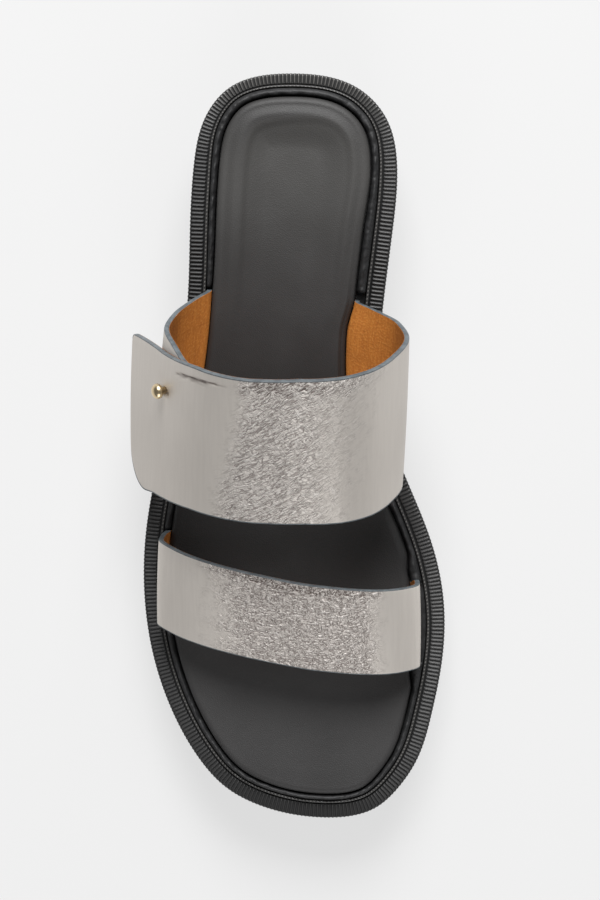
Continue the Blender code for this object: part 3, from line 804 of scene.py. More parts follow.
def welt_rubber():
    """Satin rubber; the value 'shine' gives the rib crests gloss and painted sheen up to 1, and beyond
    it paints the bead and the heel's ribs greyer as painted highlight."""
    paint = Paint("welt_rubber")
    place = paint.place()
    shine = paint.value("shine")
    dust = paint.noise(place, 260.0, 3.0)
    # painted sheen: rib crests lighter up to 1, the bead and the heel's ribs greyer beyond it
    tone = paint.blend(shine, colour(13, 13, 14), colour(62, 61, 60))
    tone = paint.blend((shine - 1.0).clamp(), tone, colour(132, 130, 127))
    return paint.skin(tone, 0.56 - shine * 0.22 + dust * 0.08, dust, 0.00006)


def sole_rubber(name, tone, tread):
    """Matt rubber; tread is the pitch in metres of shallow cross grooves, or 0 for none."""
    paint = Paint(name)
    place = paint.place()
    grit = paint.noise(place, 700.0, 3.0)
    height = grit * 0.3
    if tread:
        along = paint.node("ShaderNodeSeparateXYZ", {}, {0: place}, "Y")
        wave = (along * (2 * math.pi / tread)).math("SINE")
        height = height + wave.step(-0.2, 0.2) * 3.0
    return paint.skin(tone, 0.66 + grit * 0.08, height, 0.0002)


def gilt():
    """Polished pale gilt with a slight haze."""
    paint = Paint("gilt_metal")
    haze = paint.noise(paint.place(), 500.0, 2.0)
    sockets = {"Base Color": colour(214, 194, 158), "Metallic": 1.0, "Roughness": 0.24 + haze * 0.10}
    return paint.finish(sockets)


INSTEP_PEWTER = pewter_leather(
    "pewter_instep", 30.0, 76.0, (0.42, 1.5, 1.0), 0.5, (200, 194, 187), (199, 193, 188), 0.36)
# the front's gathered tone is its creased leather set darker as painted shade over the strap's middle
FRONT_PEWTER = pewter_leather(
    "pewter_front", 10.0, 76.0, (0.80, 1.4, 1.0), 0.45, (207, 201, 194), (186, 179, 174), 0.34)
LINING = tan_lining()
EDGE = edge_paint()
FOOTBED_SKIN = footbed_leather()
RAND_SKIN = rand_leather()
WELT_SKIN = welt_rubber()
SOLE_SKIN = sole_rubber("outsole_rubber", colour(38, 38, 39), 0.0032)
MIDSOLE_SKIN = sole_rubber("midsole_rubber", colour(34, 34, 35), 0.0)
GILT = gilt()
print("materials:", len(bpy.data.materials))

# %% [markdown]
# ## The sole
#
# Outsole, heel block and lift are moulded or stacked flat, so a few levels of the outline describe
# them. The solids have the same form in coarser steps; the finer rows only round the curve.


# %% Sole pieces
SOLE_ROWS = 150
HEEL_ROWS = 60


def make_sole():
    """Lift, heel block, outsole and midsole wall, each a few levels of the outline at its own inset."""
    tread = edges(LIFT_INSET + LIFT_CHAMFER, HEEL_ROWS, BREAST - LIFT_CHAMFER / LENGTH)
    lift = edges(LIFT_INSET, HEEL_ROWS, BREAST)
    levels = [(tread, level(0.0)), (lift, level(LIFT_CHAMFER)), (lift, level(LIFT))]
    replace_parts(slab("heel_lift_skin", SOLE_SKIN, levels, 12), "heel_lift")
    foot = edges(HEEL_INSET + HEEL_TAPER, HEEL_ROWS, BREAST)
    seat = edges(HEEL_INSET, HEEL_ROWS, BREAST + HEEL_TAPER / LENGTH)
    levels = [(foot, level(LIFT + CLEAR)), (seat, above(-CLEAR))]
    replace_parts(slab("heel_block", MIDSOLE_SKIN, levels, 12), "heel")
    low = edges(OUTSOLE_INSET + OUTSOLE_CHAMFER, SOLE_ROWS)
    full = edges(OUTSOLE_INSET, SOLE_ROWS)
    levels = [(low, above(0.0)), (full, above(OUTSOLE_CHAMFER)), (full, above(OUTSOLE))]
    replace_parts(slab("outsole_skin", SOLE_SKIN, levels, 12), "outsole")
    side = edges(MIDSOLE_INSET, SOLE_ROWS)
    groove = edges(MIDSOLE_INSET + GROOVE_DEPTH, SOLE_ROWS)
    middle = (MIDSOLE_BASE + MIDSOLE_TOP) / 2
    levels = [
        (side, above(MIDSOLE_BASE)),
        (side, above(middle - GROOVE_HEIGHT)),
        (groove, above(middle - GROOVE_HEIGHT / 2)),
        (groove, above(middle + GROOVE_HEIGHT / 2)),
        (side, above(middle + GROOVE_HEIGHT)),
        (side, above(MIDSOLE_TOP)),
    ]
    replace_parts(slab("midsole_wall", MIDSOLE_SKIN, levels, 6, 28.0), "midsole")


make_sole()

# %% [markdown]
# ## The ribbed rim
#
# The welt's band is crossed by fine ribs, about 1.4 mm apart, that run over its outer edge. Bump would
# do on the flat, but the ribs break the outline of the shoe, so they are real: a profile carried round
# the outline at even steps, five columns to a rib, two on its crest and three in the groove.

# %% Welt with its ribs
RIB_PITCH = 1.4
RIB_DEPTH = 0.55
RIB_COLUMNS = 5
BEAD_ROW = 12  # profile rows before the bead
HEEL_SQUEEZE = 0.26
SQUEEZE_END = 0.16


def squeeze(curve):
    """Share of the welt's width: 1 - HEEL_SQUEEZE at the very back and 1 from SQUEEZE_END on."""
    return 1 - HEEL_SQUEEZE * (1 - smooth_step(y_station(curve[:, 1]), 0.0, SQUEEZE_END))[:, None]


def painted_rib_sheen(curve):
    """Ribs' gloss and painted sheen: most at the heel, little at the toe and on the lateral side."""
    station = y_station(curve[:, 1])
    lateral = np.arange(len(curve)) < np.argmin(curve[:, 1])
    side = np.where(lateral, 0.30, 0.90)
    heel = 1 - smooth_step(station, 0.0, 0.12)
    toe = smooth_step(station, 0.80, 0.98)
    return (side * (1 - heel) * (1 - toe) + 1.9 * heel + 0.40 * toe)[:, None]


def make_welt():
    """Profile rows (inset, height, cut inwards, cut down, shine), carried round the outline; in a
    groove each row is moved by its cuts times the ribs' depth."""
    top = WELT_BASE + WELT
    inner = BAND + CHANNEL
    low = WELT_BASE
    profile = np.array([
        (WELT_EDGE + 0.4, low, 0.0, 0.0, 0.0),
        (0.15, low + 0.5, 0.0, 0.0, 0.0),
        (0.0, low + 0.9, 0.25, 0.0, 0.2),
        (0.0, top - 0.9, 0.25, 0.0, 0.4),
        (0.2, top - 0.35, 0.4, 0.5, 0.7),
        (0.65, top - 0.05, 0.2, 0.95, 0.8),
        (1.2, top, 0.0, 1.0, 0.7),
        (BAND - 0.9, top, 0.0, 1.0, 0.7),
        (BAND - 0.3, top - 0.05, 0.0, 0.9, 0.6),
        (BAND, top - 0.25, 0.0, 0.4, 0.2),
        (BAND + CHANNEL_SLOPE, top - CHANNEL_DEPTH, 0.0, 0.0, 0.0),
        (inner - CHANNEL_SLOPE, top - CHANNEL_DEPTH, 0.0, 0.0, 0.0),
        (inner, top + BEAD_RISE * 0.35, 0.0, 0.0, 0.3),
        (inner + BEAD * 0.2, top + BEAD_RISE * 0.8, 0.0, 0.0, 1.1),
        (inner + BEAD * 0.5, top + BEAD_RISE, 0.0, 0.06, 1.8),
        (inner + BEAD * 0.8, top + BEAD_RISE * 0.8, 0.0, 0.0, 0.9),
        (inner + BEAD, top + BEAD_RISE * 0.35, 0.0, 0.0, 0.2),
        (inner + BEAD, low, 0.0, 0.0, 0.0),
    ])
    ribs = int(round(PERIMETER / RIB_PITCH))
    curve, _ = even_curve(ribs * RIB_COLUMNS)
    groove = (np.arange(len(curve)) % RIB_COLUMNS >= RIB_COLUMNS // 2)[:, None] * RIB_DEPTH
    flat = swept(curve, (profile[:, 0] + groove * profile[:, 2]) * squeeze(curve))
    z = rise(flat[..., 1]) + profile[:, 1] - groove * profile[:, 3]
    is_cut = profile[:, 2] + profile[:, 3] > 0
    # gloss and painted sheen: low in the ribs' grooves, and most at the heel, little at the toe and on
    # the lateral side
    shine = profile[:, 4] * (1 - 0.9 * groove / RIB_DEPTH * is_cut)
    shine[:, :BEAD_ROW] *= painted_rib_sheen(curve)
    points = np.dstack([flat, z])
    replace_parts(make_ring("welt_ribbed", points, WELT_SKIN, {"shine": shine}), "welt")
    print("ribs:", ribs)


make_welt()

# %% [markdown]
# ## The rand in the slot
#
# Between bead and footbed the wrapped edge of the insole shows as a narrow roll, gathered in small
# creases where the leather turns the curve. It drops away where a strap comes up out of the slot. It
# is one profile round the outline again, its height set by two masks: not at the straps, and noise
# across the roll for the creases.

# %% Rand
RAND_GAP = 0.3  # shadow left between the rand and the footbed
RAND_TOP = 4.1  # height of the roll above the slot's floor


def strap_mask(curve):
    """0 where a strap stands in the slot and 1 a little away from it."""
    station = y_station(curve[:, 1])
    toe = int(np.argmin(curve[:, 1]))
    lateral = np.arange(len(curve)) < toe
    mask = np.ones(len(curve))
    for sizes in (INSTEP, FRONT):
        for side, here in (("lateral_slot", lateral), ("medial_slot", ~lateral)):
            rear, front = sizes[side]
            away = np.maximum(rear - station, station - front) * LENGTH
            mask = np.where(here, np.minimum(mask, smooth_step(away, 0.4, 2.2)), mask)
    return mask


def make_rand():
    """Share across the roll s, height sqrt(1 - (2s - 1)^2) times the mask, less the creases."""
    curve, length = even_curve(1500)
    at = np.arange(len(curve)) / len(curve) * length
    start = WELT_WIDTH * squeeze(curve)[:, 0] + 0.1
    width = footbed_line(curve) - start - RAND_GAP
    mask = strap_mask(curve)
    share = np.linspace(0.0, 1.0, 12)
    crease = lattice_noise(at[:, None] / 2.6 + share, share * 2.3 + 3.0, 5) * 0.6
    crease = crease + lattice_noise(at[:, None] / 1.2, share * 1.7 + 9.0, 6) * 0.25
    arch = np.sqrt(np.clip(1 - (2 * share - 1) ** 2, 0.0, 1.0)) ** 0.8
    high = 0.12 + RAND_TOP * arch * (1 + 0.13 * crease) * mask[:, None]
    flat = swept(curve, start[:, None] + share * width[:, None])
    floor = rise(flat[..., 1]) + SLOT_FLOOR + 0.02
    top = np.dstack([flat, floor + high])
    base = np.dstack([flat, floor])[:, ::-1]
    make_ring("rand", np.concatenate([top, base[:, 1:-1]], axis=1), RAND_SKIN)


make_rand()
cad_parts["insole"].data.materials.clear()
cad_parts["insole"].data.materials.append(RAND_SKIN)

# %% [markdown]
# ## The padded footbed
#
# Foam under thin leather: an upright side, a rolled edge, a soft rim round the heel and a cup inside
# it. A simulated cushion would swell evenly and lose the moulded cup, so the top is a height function
# of the distance from the edge and of the station. The printed place at the heel stays bare.

# %% Footbed
FOOTBED_ROWS = 240
FOOTBED_COLUMNS = 90
ROLL_STEPS = 8


def from_edge(x, y):
    """Distance inside the footbed's edge: to the nearest outline point, less its inset there."""
    from_curve = np.empty(x.shape)
    curve = CURVE[::4]
    line = footbed_line(CURVE)[::4]
    for row in range(0, len(x), 40):
        part = slice(row, row + 40)
        away = np.hypot(x[part, :, None] - curve[:, 0], y[part, :, None] - curve[:, 1])
        from_curve[part] = np.min(away - line, axis=-1)
    return np.clip(from_curve, 0.0, None)


def rim_width(share):
    """The rim round the heel is wider on the lateral side; share is the place across."""
    return 8.6 - 3.6 * share


def painted_light_and_shade(vertices):
    """rim is painted light, most in the heel's cup and less on the rim round it. The second value is
    painted shade, under and between the straps and towards the toe."""
    x, y = vertices[:, :1], vertices[:, 1:2]
    lateral, medial = halves(footbed_line(CURVE))
    left, right = side_x(lateral, y), side_x(medial, y)
    start = rim_width(np.clip((x - left) / np.maximum(right - left, 1.0), 0.0, 1.0))
    station = y_station(y)
    band = 1 - smooth_step(from_edge(x, y), start - 1.5, start + 1.5)
    sides = smooth_step(station, 0.05, 0.20) * (1 - smooth_step(station, 0.20, 0.36))
    # painted light: the rim band at the heel's sides and, stronger, the heel's cup
    rim = 0.32 * band * sides
    cup = 0.62 * (1 - smooth_step(station, 0.10, 0.34))
    cup = cup * (1 - 0.8 * band * (1 - smooth_step(station, 0.04, 0.14)))
    # painted shade under and between the straps, and a little towards the toe
    covered = smooth_step(station, 0.30, 0.46) * (1 - smooth_step(station, 0.62, 0.72))
    covered = covered + 0.30 * smooth_step(station, 0.84, 0.96)
    return {"rim": np.maximum(rim, cup), "covered": 0.95 * covered}


def footbed_top(x, y, share):
    """Edge height + heel rim - heel cup + arch + toe crest + a trace of unevenness in the foam."""
    station = y_station(y)
    side = 2 * share - 1
    inside = from_edge(x, y)
    heel = 1 - smooth_step(station, *HEEL_CUP_FADE)
    start = rim_width(share)
    step = 0.2 * smooth_step(inside, start, start + 3.0)
    dish = HEEL_CUP * (step + 0.8 * smooth_step(inside, HEEL_RIM_FROM, HEEL_RIM_FROM + HEEL_CUP_WALL))
    rim = HEEL_RIM * smooth_step(inside, FOOTBED_ROUND, HEEL_RIM_FROM)
    arch = ARCH_RISE * hump(station, ARCH_AT) * smooth_step(side, 0.1, 0.9)
    crest = TOE_CREST * hump(station, CREST_AT) * (1 - side**2)
    uneven = 0.12 * lattice_noise(x / 9.0 + 40, y / 12.0 + 40, 11) * smooth_step(inside, 2.0, 8.0)
    return rise(y) + FOOTBED_BASE + FOOTBED_EDGE + heel * (rim - dish) + arch + crest + uneven


def make_footbed():
    """Upright side, a roll of a quarter circle in ROLL_STEPS, and the top."""
    side = FOOTBED_BASE + FOOTBED_EDGE - FOOTBED_ROUND
    at = lambda extra: edges(footbed_line(CURVE, extra), FOOTBED_ROWS)
    levels = [(at(0.0), above(FOOTBED_BASE)), (at(0.0), above(side))]
    for turn in np.radians(np.linspace(0.0, 90.0, ROLL_STEPS + 1)[1:-1]):
        out = FOOTBED_ROUND * (1 - math.cos(turn))
        levels.append((at(out), above(side + FOOTBED_ROUND * math.sin(turn))))
    levels.append((at(FOOTBED_ROUND), footbed_top))
    columns = FOOTBED_COLUMNS
    piece = slab("footbed_pad", FOOTBED_SKIN, levels, columns, None, painted_light_and_shade)
    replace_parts(piece, "footbed")


make_footbed()

# %% [markdown]
# ## The straps
#
# A strap is a ruled last: its section runs from the lateral slot, out to its widest point, over the
# ridge and down to the medial slot. The table gives the shares of those places, and the sizes give the
# places at the rear and the front edge. Leather, lining and edge paint are three skins of one wall.


# %% Strap surface
def section_table():
    """The half table and its mirror: around, five shares across, height, lean, root. On the medial
    side the lean goes with the height."""
    around, slot, ridge, height, lean, root = np.array(SECTION).T
    widest = 1 - slot - ridge
    none = 0 * slot
    lateral = np.column_stack([around, slot, widest, ridge, none, none, height, lean, root])
    medial = np.column_stack([1 - around, none, none, ridge, widest, slot, height, height, root])
    return np.concatenate([lateral, medial[-2::-1]])


WHOLE_SECTION = section_table()


def place_share(column, around):
    """A column of shares, each half by itself, so that the surface runs on evenly over the ridge."""
    ridge = len(SECTION)
    lateral = monotone(WHOLE_SECTION[:ridge, 0], WHOLE_SECTION[:ridge, column], around)
    medial = monotone(WHOLE_SECTION[ridge - 1 :, 0], WHOLE_SECTION[ridge - 1 :, column], around)
    return np.where(around < WHOLE_SECTION[ridge - 1, 0], lateral, medial)


def strap_point(sizes, around, across):
    """Sum of five places (slots, widest points, ridge), each times its share at around, raised by the
    strap's rise times the height share and moved forward by its lean times the lean share."""
    around, across = np.broadcast_arrays(np.asarray(around, float), np.asarray(across, float))
    columns = [place_share(k, around) for k in range(1, 6)]
    height, lean, root = (monotone(WHOLE_SECTION[:, 0], WHOLE_SECTION[:, k], around) for k in (6, 7, 8))
    between = lambda name: sizes[name][0] + (sizes[name][1] - sizes[name][0]) * across
    lateral_slot_y = station_y(between("lateral_slot"))
    medial_slot_y = station_y(between("medial_slot"))
    lateral, medial = halves(footbed_line(CURVE, -CLEAR))
    places = (
        (side_x(lateral, lateral_slot_y), lateral_slot_y),
        (-between("lateral_reach"), station_y(between("lateral"))),
        (between("ridge"), (lateral_slot_y + medial_slot_y) / 2),
        (between("medial_reach"), station_y(between("medial"))),
        (side_x(medial, medial_slot_y), medial_slot_y),
    )
    x = sum(columns[k] * places[k][0] for k in range(5))
    y = sum(columns[k] * places[k][1] for k in range(5))
    slot_z = sum(columns[k] * (rise(places[k][1]) + SLOT_TOP) for k in range(5))
    depth = SLOT_TOP - SLOT_FLOOR - CLEAR
    z = slot_z + between("rise") * height - depth * root
    return np.stack([x, y - between("lean") * lean, z], axis=-1)


def strap_frame(sizes, around, across):
    """Point, and unit vectors around, out of and down the strap, from small differences."""
    small = 0.004
    low = np.clip(around - small, 0, 1)
    high = np.clip(around + small, 0, 1)
    along = strap_point(sizes, high, across) - strap_point(sizes, low, across)
    down = strap_point(sizes, around, across + small) - strap_point(sizes, around, across - small)
    out = np.cross(down, along)
    return strap_point(sizes, around, across), unit(along), unit(out), unit(down)


def crown(across):
    """The strap's slight arch across its width: STRAP_CROWN times 4 t (1 - t)."""
    return (STRAP_CROWN * 4 * across * (1 - across))[..., None]


def root_fade(around):
    """0 at the strap's roots and 1 a little above them."""
    return smooth_step(np.minimum(around, 1 - around), 0.03, 0.14)[..., None]


def instep_width():
    """Width of the instep strap where the flap leaves the lower half."""
    return np.linalg.norm(strap_point(INSTEP, FLAP_START, 1.0) - strap_point(INSTEP, FLAP_START, 0.0))


def plain_strap(sizes, last, tuck=0.0):
    """Builder of a strap that ends at last: inner face, normals and places on a grid of given size.
    Its rear edge is cut back by the share tuck where the upper half covers it."""

    def build(columns, rows):
        places = np.linspace(0.0, last, columns)
        around, share = np.meshgrid(places, np.linspace(0.0, 1.0, rows), indexing="ij")
        cut = tuck * smooth_step(around, *TUCK_FADE)
        across = cut + (1 - cut) * share
        point, _, out, _ = strap_frame(sizes, around, across)
        return point + out * crown(across) * root_fade(around), out, around, across

    return build


def flap_limits(left):
    """Rear and front limit across the flap, with a round of each radius at its corners."""
    cut = []
    for radius in (FLAP_CORNER, FLAP_ROUND):
        short = np.clip(radius - left, 0.0, radius)
        cut.append((radius - np.sqrt(radius**2 - short**2)) / instep_width())
    return cut[0], 1 - cut[1]


def flap_part(left, rows):
    """Places across the flap, and how far it swings forward, its reach times (1 - left / from)^1.5."""
    rear, front = flap_limits(left)
    across = rear[:, None] + (front - rear)[:, None] * np.linspace(0.0, 1.0, rows)
    bend = np.clip(1 - left / FLAP_SWEEP_FROM, 0.0, 1.0) ** 1.5
    reach = FLAP_SWEEP[0] + (FLAP_SWEEP[1] - FLAP_SWEEP[0]) * across
    return across, (bend[:, None] * reach)[..., None]


FLAP_AROUND = 0.12  # the flap's length as a share of the way round, for grain and creases


def over_strap(columns, rows):
    """Inner face, normals and places of the upper half; its flap runs straight on from where it leaves
    the lower half."""
    length = sum(FLAP) / 2
    tail_columns = max(8, columns // 7)
    body = np.linspace(FLAP_START, 1.0, columns - tail_columns)
    tail = np.linspace(0.0, 1.0, tail_columns + 1)[:-1] ** 1.5
    arc = strap_point(INSTEP, body, 0.5)
    left = length + run_along(arc)
    across, swing = flap_part(left, rows)
    around = np.broadcast_to(body[:, None], across.shape)
    point, _, out, down = strap_frame(INSTEP, around, across)
    over_under = (WALL + CLEAR) * (1 - smooth_step(around, UNDER_END + 0.02, LIFT_END))
    offset = crown(across) * root_fade(around) + over_under[..., None]
    body_inner = point + out * offset + down * swing
    tail_across, swing = flap_part(tail * length, rows)
    held = np.full(tail_across.shape, FLAP_START)
    point, along, tail_out, down = strap_frame(INSTEP, held, tail_across)
    offset = crown(tail_across) + WALL + CLEAR
    past = (1 - tail)[:, None] * (FLAP[0] + (FLAP[1] - FLAP[0]) * tail_across)
    tail_inner = point + tail_out * offset + down * swing - along * past[..., None]
    inner = np.concatenate([tail_inner, body_inner])
    outward = np.concatenate([tail_out, out])
    tail_around = held - FLAP_AROUND * (1 - tail)[:, None]
    places = np.concatenate([tail_around, around])
    return inner, outward, places, np.concatenate([tail_across, across])


# %% [markdown]
# ### Creases
#
# The main folds are placed one by one, each a soft trough with a low ridge beside it, in the strap's
# own places: how far round, how far across, its length and slant, its depth and width in millimetres.

# %% Crease tables
INSTEP_CREASES = (
    # around, across, length, slant in degrees, depth, width
    (0.296, 0.082, 4.0, 14.0, 0.26, 0.70),
    (0.304, 0.096, 3.5, 10.0, 0.22, 0.60),
    (0.316, 0.076, 5.0, 6.0, 0.36, 0.80),
    (0.326, 0.094, 3.5, 12.0, 0.26, 0.60),
    (0.334, 0.072, 5.0, 8.0, 0.38, 0.85),
    (0.344, 0.090, 4.0, 4.0, 0.26, 0.60),
    (0.354, 0.066, 5.0, 10.0, 0.32, 0.75),
    (0.374, 0.060, 4.5, 2.0, 0.22, 0.60),
    (0.418, 0.045, 3.5, 12.0, 0.24, 0.60),
    (0.436, 0.075, 4.0, -14.0, 0.22, 0.55),
    (0.458, 0.048, 4.0, 8.0, 0.26, 0.60),
    (0.482, 0.085, 4.5, -10.0, 0.22, 0.60),
    (0.505, 0.055, 4.0, 12.0, 0.24, 0.60),
    (0.532, 0.080, 4.5, -6.0, 0.20, 0.55),
    (0.556, 0.050, 4.0, 9.0, 0.20, 0.55),
    (0.586, 0.072, 4.0, -5.0, 0.16, 0.50),
    (0.412, 0.20, 9.0, 68.0, 0.05, 1.2),
    (0.410, 0.42, 11.0, 74.0, 0.05, 1.4),
    (0.400, 0.66, 11.0, 72.0, 0.09, 1.3),
    (0.394, 0.88, 8.0, 70.0, 0.09, 1.2),
    (0.448, 0.30, 11.0, 34.0, 0.10, 1.2),
    (0.486, 0.48, 12.0, 30.0, 0.10, 1.3),
    (0.455, 0.62, 10.0, 36.0, 0.10, 1.2),
    (0.520, 0.72, 11.0, 28.0, 0.09, 1.3),
    (0.545, 0.36, 10.0, 32.0, 0.08, 1.3),
)
FRONT_CREASES = (
    (0.395, 0.30, 7.0, 30.0, 0.10, 1.0),
    (0.400, 0.62, 8.0, 36.0, 0.10, 1.0),
    (0.430, 0.08, 7.0, -6.0, 0.20, 0.8),
    (0.470, 0.14, 7.0, 6.0, 0.20, 0.8),
    (0.510, 0.08, 8.0, -4.0, 0.20, 0.8),
    (0.560, 0.12, 7.0, 5.0, 0.18, 0.8),
    (0.460, 0.48, 10.0, 18.0, 0.10, 1.1),
    (0.520, 0.66, 10.0, 14.0, 0.10, 1.1),
    (0.575, 0.42, 9.0, 16.0, 0.09, 1.1),
    (0.500, 0.90, 9.0, 4.0, 0.18, 0.9),
    (0.570, 0.88, 6.0, -5.0, 0.10, 0.8),
)


def crease_height(table, around, across, span):
    """Sum over the table of -depth * (1 - 0.9 q^2) exp(-q^2) * exp(-p^4), with p along and q across
    each crease in its half lengths and widths; past q = 1 the first factor raises the ridges."""
    height = np.zeros(around.shape)
    for place, over, length, slant, depth, breadth in table:
        s = (around - place) * span[0]
        t = (across - over) * span[1]
        turn = math.radians(slant)
        p = (s * math.cos(turn) - t * math.sin(turn)) / (length / 2)
        q = (s * math.sin(turn) + t * math.cos(turn)) / breadth
        height -= depth * (1 - 0.9 * q**2) * np.exp(-(q**2)) * np.exp(-(p**4))
    return height


def grain_mask(around, across, rising, falling, slant):
    """0 to 1 over the places of rising, evenly back to 0 over those of falling, all leaning with slant,
    and more near the rear edge."""
    place = around - slant * (across - 0.5)
    start, full = rising
    from_full, end = falling
    fall = np.clip((place - from_full) / (end - from_full), 0.0, 1.0)
    inside = smooth_step(place, start, full) * (1 - fall)
    return inside * (1 + 0.9 * (1 - smooth_step(across, 0.05, 0.13)))


# %% Strap skins
LEATHER_COLUMNS = 420
LEATHER_ROWS = 96
LINING_COLUMNS = 150
LINING_ROWS = 26
SKIN_GAP = 0.02
PAINT_BULGE = 0.16
PAINT_OVERLAP = 0.06
EDGE_SHARE = 0.035  # how far the rolled edge reaches in, as a share of the strap's width
EDGE_ROLL = 0.14
HOLLOW_SHADE_DEPTH = 0.30  # depth of a crease whose hollow gets the full painted shade
HOLE_DEPTH = 0.5
HOLE_SHIFT = 0.9  # how far the hole's middle lies from the stud's, towards the instep
HOLE_LENGTH = 2.6
HOLE_WIDTH = 1.5


def flat_map(inner, rows):
    """Millimetres along the strap's middle and across it, over MAP_SIZE."""
    middle = inner[:, rows // 2]
    s = run_along(middle)
    step = np.linalg.norm(np.diff(inner, axis=1), axis=-1)
    t = np.concatenate([np.zeros((len(inner), 1)), np.cumsum(step, axis=1)], axis=1)
    t = t - t.mean(axis=1)[:, None]
    return np.dstack([np.broadcast_to(s[:, None], t.shape), t]) / MAP_SIZE


def twice(amounts):
    """The values of a grid for both sides of its wall."""
    return np.concatenate([amounts, amounts]).reshape(-1, *amounts.shape[2:])


def make_strap(name, node, build, material, span, creases=(), grain=None, hole=None):
    """Leather, lining and paint of one strap. The leather's outer face lies WALL out, lowered by the
    creases, a roll at both edges and the hole; without grain its leather is smooth."""
    inner, out, around, across = build(LEATHER_COLUMNS, LEATHER_ROWS)
    relief = crease_height(creases, around, across, span)
    edge = smooth_step(np.minimum(across - across[:, :1], across[:, -1:] - across), 0.0, EDGE_SHARE)
    relief = relief * edge * root_fade(around)[..., 0]
    # how deep each placed crease is, for the bump and for painted shade in its hollow
    hollow_shade = np.clip(-relief / HOLLOW_SHADE_DEPTH, 0.0, 1.0) ** 2
    if hole is not None:
        relief = relief - HOLE_DEPTH * hole(inner)
        # the stud's hole gets painted shade as well
        hollow_shade = np.maximum(hollow_shade, hole(inner))
    roll = EDGE_ROLL * (1 - np.sqrt(np.clip(1 - (1 - edge) ** 2, 0.0, 1.0)))
    outer = inner + out * (WALL + relief - roll)[..., None]
    vertices, quads = two_sided(inner + out * (WALL / 2 + SKIN_GAP), outer)
    uv = twice(flat_map(inner, LEATHER_ROWS))
    gathered = grain_mask(around, across, *grain) if grain else 0 * around
    values = {"grain": twice(gathered), "hollow_shade": twice(hollow_shade)}
    leather = make_piece(name + "_leather", vertices, quads, material, uv, values, sharp=60.0)
    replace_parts(leather, node)
    inner, out, _, _ = build(LINING_COLUMNS, LINING_ROWS)
    vertices, quads = two_sided(inner, inner + out * (WALL / 2 - SKIN_GAP))
    uv = twice(flat_map(inner, LINING_ROWS))
    make_piece(name + "_lining", vertices, quads, LINING, uv, sharp=60.0)
    make_edge(name + "_edge", build)


def make_edge(name, build):
    """The paint: round the wall's border, centre + normal * (wall / 2) cos t + side * bulge sin t."""
    inner, out, _, _ = build(260, 40)
    loop = border(*inner.shape[:2])
    centre = (inner + out * WALL / 2).reshape(-1, 3)[loop]
    normal = out.reshape(-1, 3)[loop]
    side = np.cross(unit(np.roll(centre, -1, axis=0) - np.roll(centre, 1, axis=0)), normal)
    if np.sum(side[: len(inner)] * (inner[:, 1] - inner[:, 0])) > 0:
        side = -side
    turn = np.linspace(0.0, math.pi, 9)
    arc = normal[:, None] * (np.cos(turn) * WALL / 2 * 0.99)[:, None]
    arc = arc + side[:, None] * (np.sin(turn) ** 0.7 * PAINT_BULGE - PAINT_OVERLAP)[:, None]
    inside = normal[:, None] * (np.array([-0.9, 0.9]) * WALL / 2)[:, None] - side[:, None] * 0.5
    points = centre[:, None] + np.concatenate([arc, inside], axis=1)
    make_ring(name, points, EDGE)


def stud_seat():
    """Point on the lower half under the stud, and unit vectors along, out of and down the strap."""
    around = np.array([STUD_AROUND])
    across = np.array([STUD_ACROSS])
    point, along, out, down = strap_frame(INSTEP, around, across)
    return (point + out * crown(across))[0], along[0], out[0], down[0]


def buttonhole(inner):
    """1 in the hole round the stud's neck, drawn out along the strap towards the instep."""
    seat, along, _, down = stud_seat()
    away = inner - seat
    s = np.abs(away @ along - HOLE_SHIFT) / HOLE_LENGTH
    t = np.abs(away @ down) / HOLE_WIDTH
    return np.exp(-((s**2 + t**2) ** 3))


FRONT_GRAIN = ((0.28, 0.45), (0.61, 0.69), 0.0)
OVER_GRAIN = ((0.355, 0.425), (0.44, 0.70), -0.05)
FRONT_SPAN = (124.0, 32.0)  # millimetres round the strap and across it
INSTEP_SPAN = (183.0, 58.0)
under_strap = plain_strap(INSTEP, UNDER_END, UNDER_TUCK / instep_width())
for row in (
    ("strap_front", "strap_front", plain_strap(FRONT, 1.0),
        FRONT_PEWTER, FRONT_SPAN, FRONT_CREASES, FRONT_GRAIN),
    ("strap_under", "strap_instep_under", under_strap, INSTEP_PEWTER, INSTEP_SPAN),
    ("strap_over", "strap_instep_over", over_strap,
        INSTEP_PEWTER, INSTEP_SPAN, INSTEP_CREASES, OVER_GRAIN, buttonhole),
):
    make_strap(*row)

# %% [markdown]
# ## The stud
#
# A button stud is turned: a flat rivet inside, a neck, and a flattened ball that the flap's hole snaps
# over. A profile turned about the seat's axis makes it in one surface.

# %% Stud
STUD_HEAD = 5.4
STUD_HEIGHT = 3.8
STUD_NECK = 2.4
STUD_NECK_HEIGHT = 0.7
HEAD_TURN = (-62.0, 89.0)  # degrees of the ball's profile, from the neck to the tip
HEAD_MIDDLE = 0.46  # height of the ball's middle, and half its height, as shares of the head's
HEAD_HALF = 0.53
NECK_OVERLAP = 0.2
RIVET = 7.0
RIVET_THICK = 0.9
RIVET_EDGE = 0.6
TURNED = 48


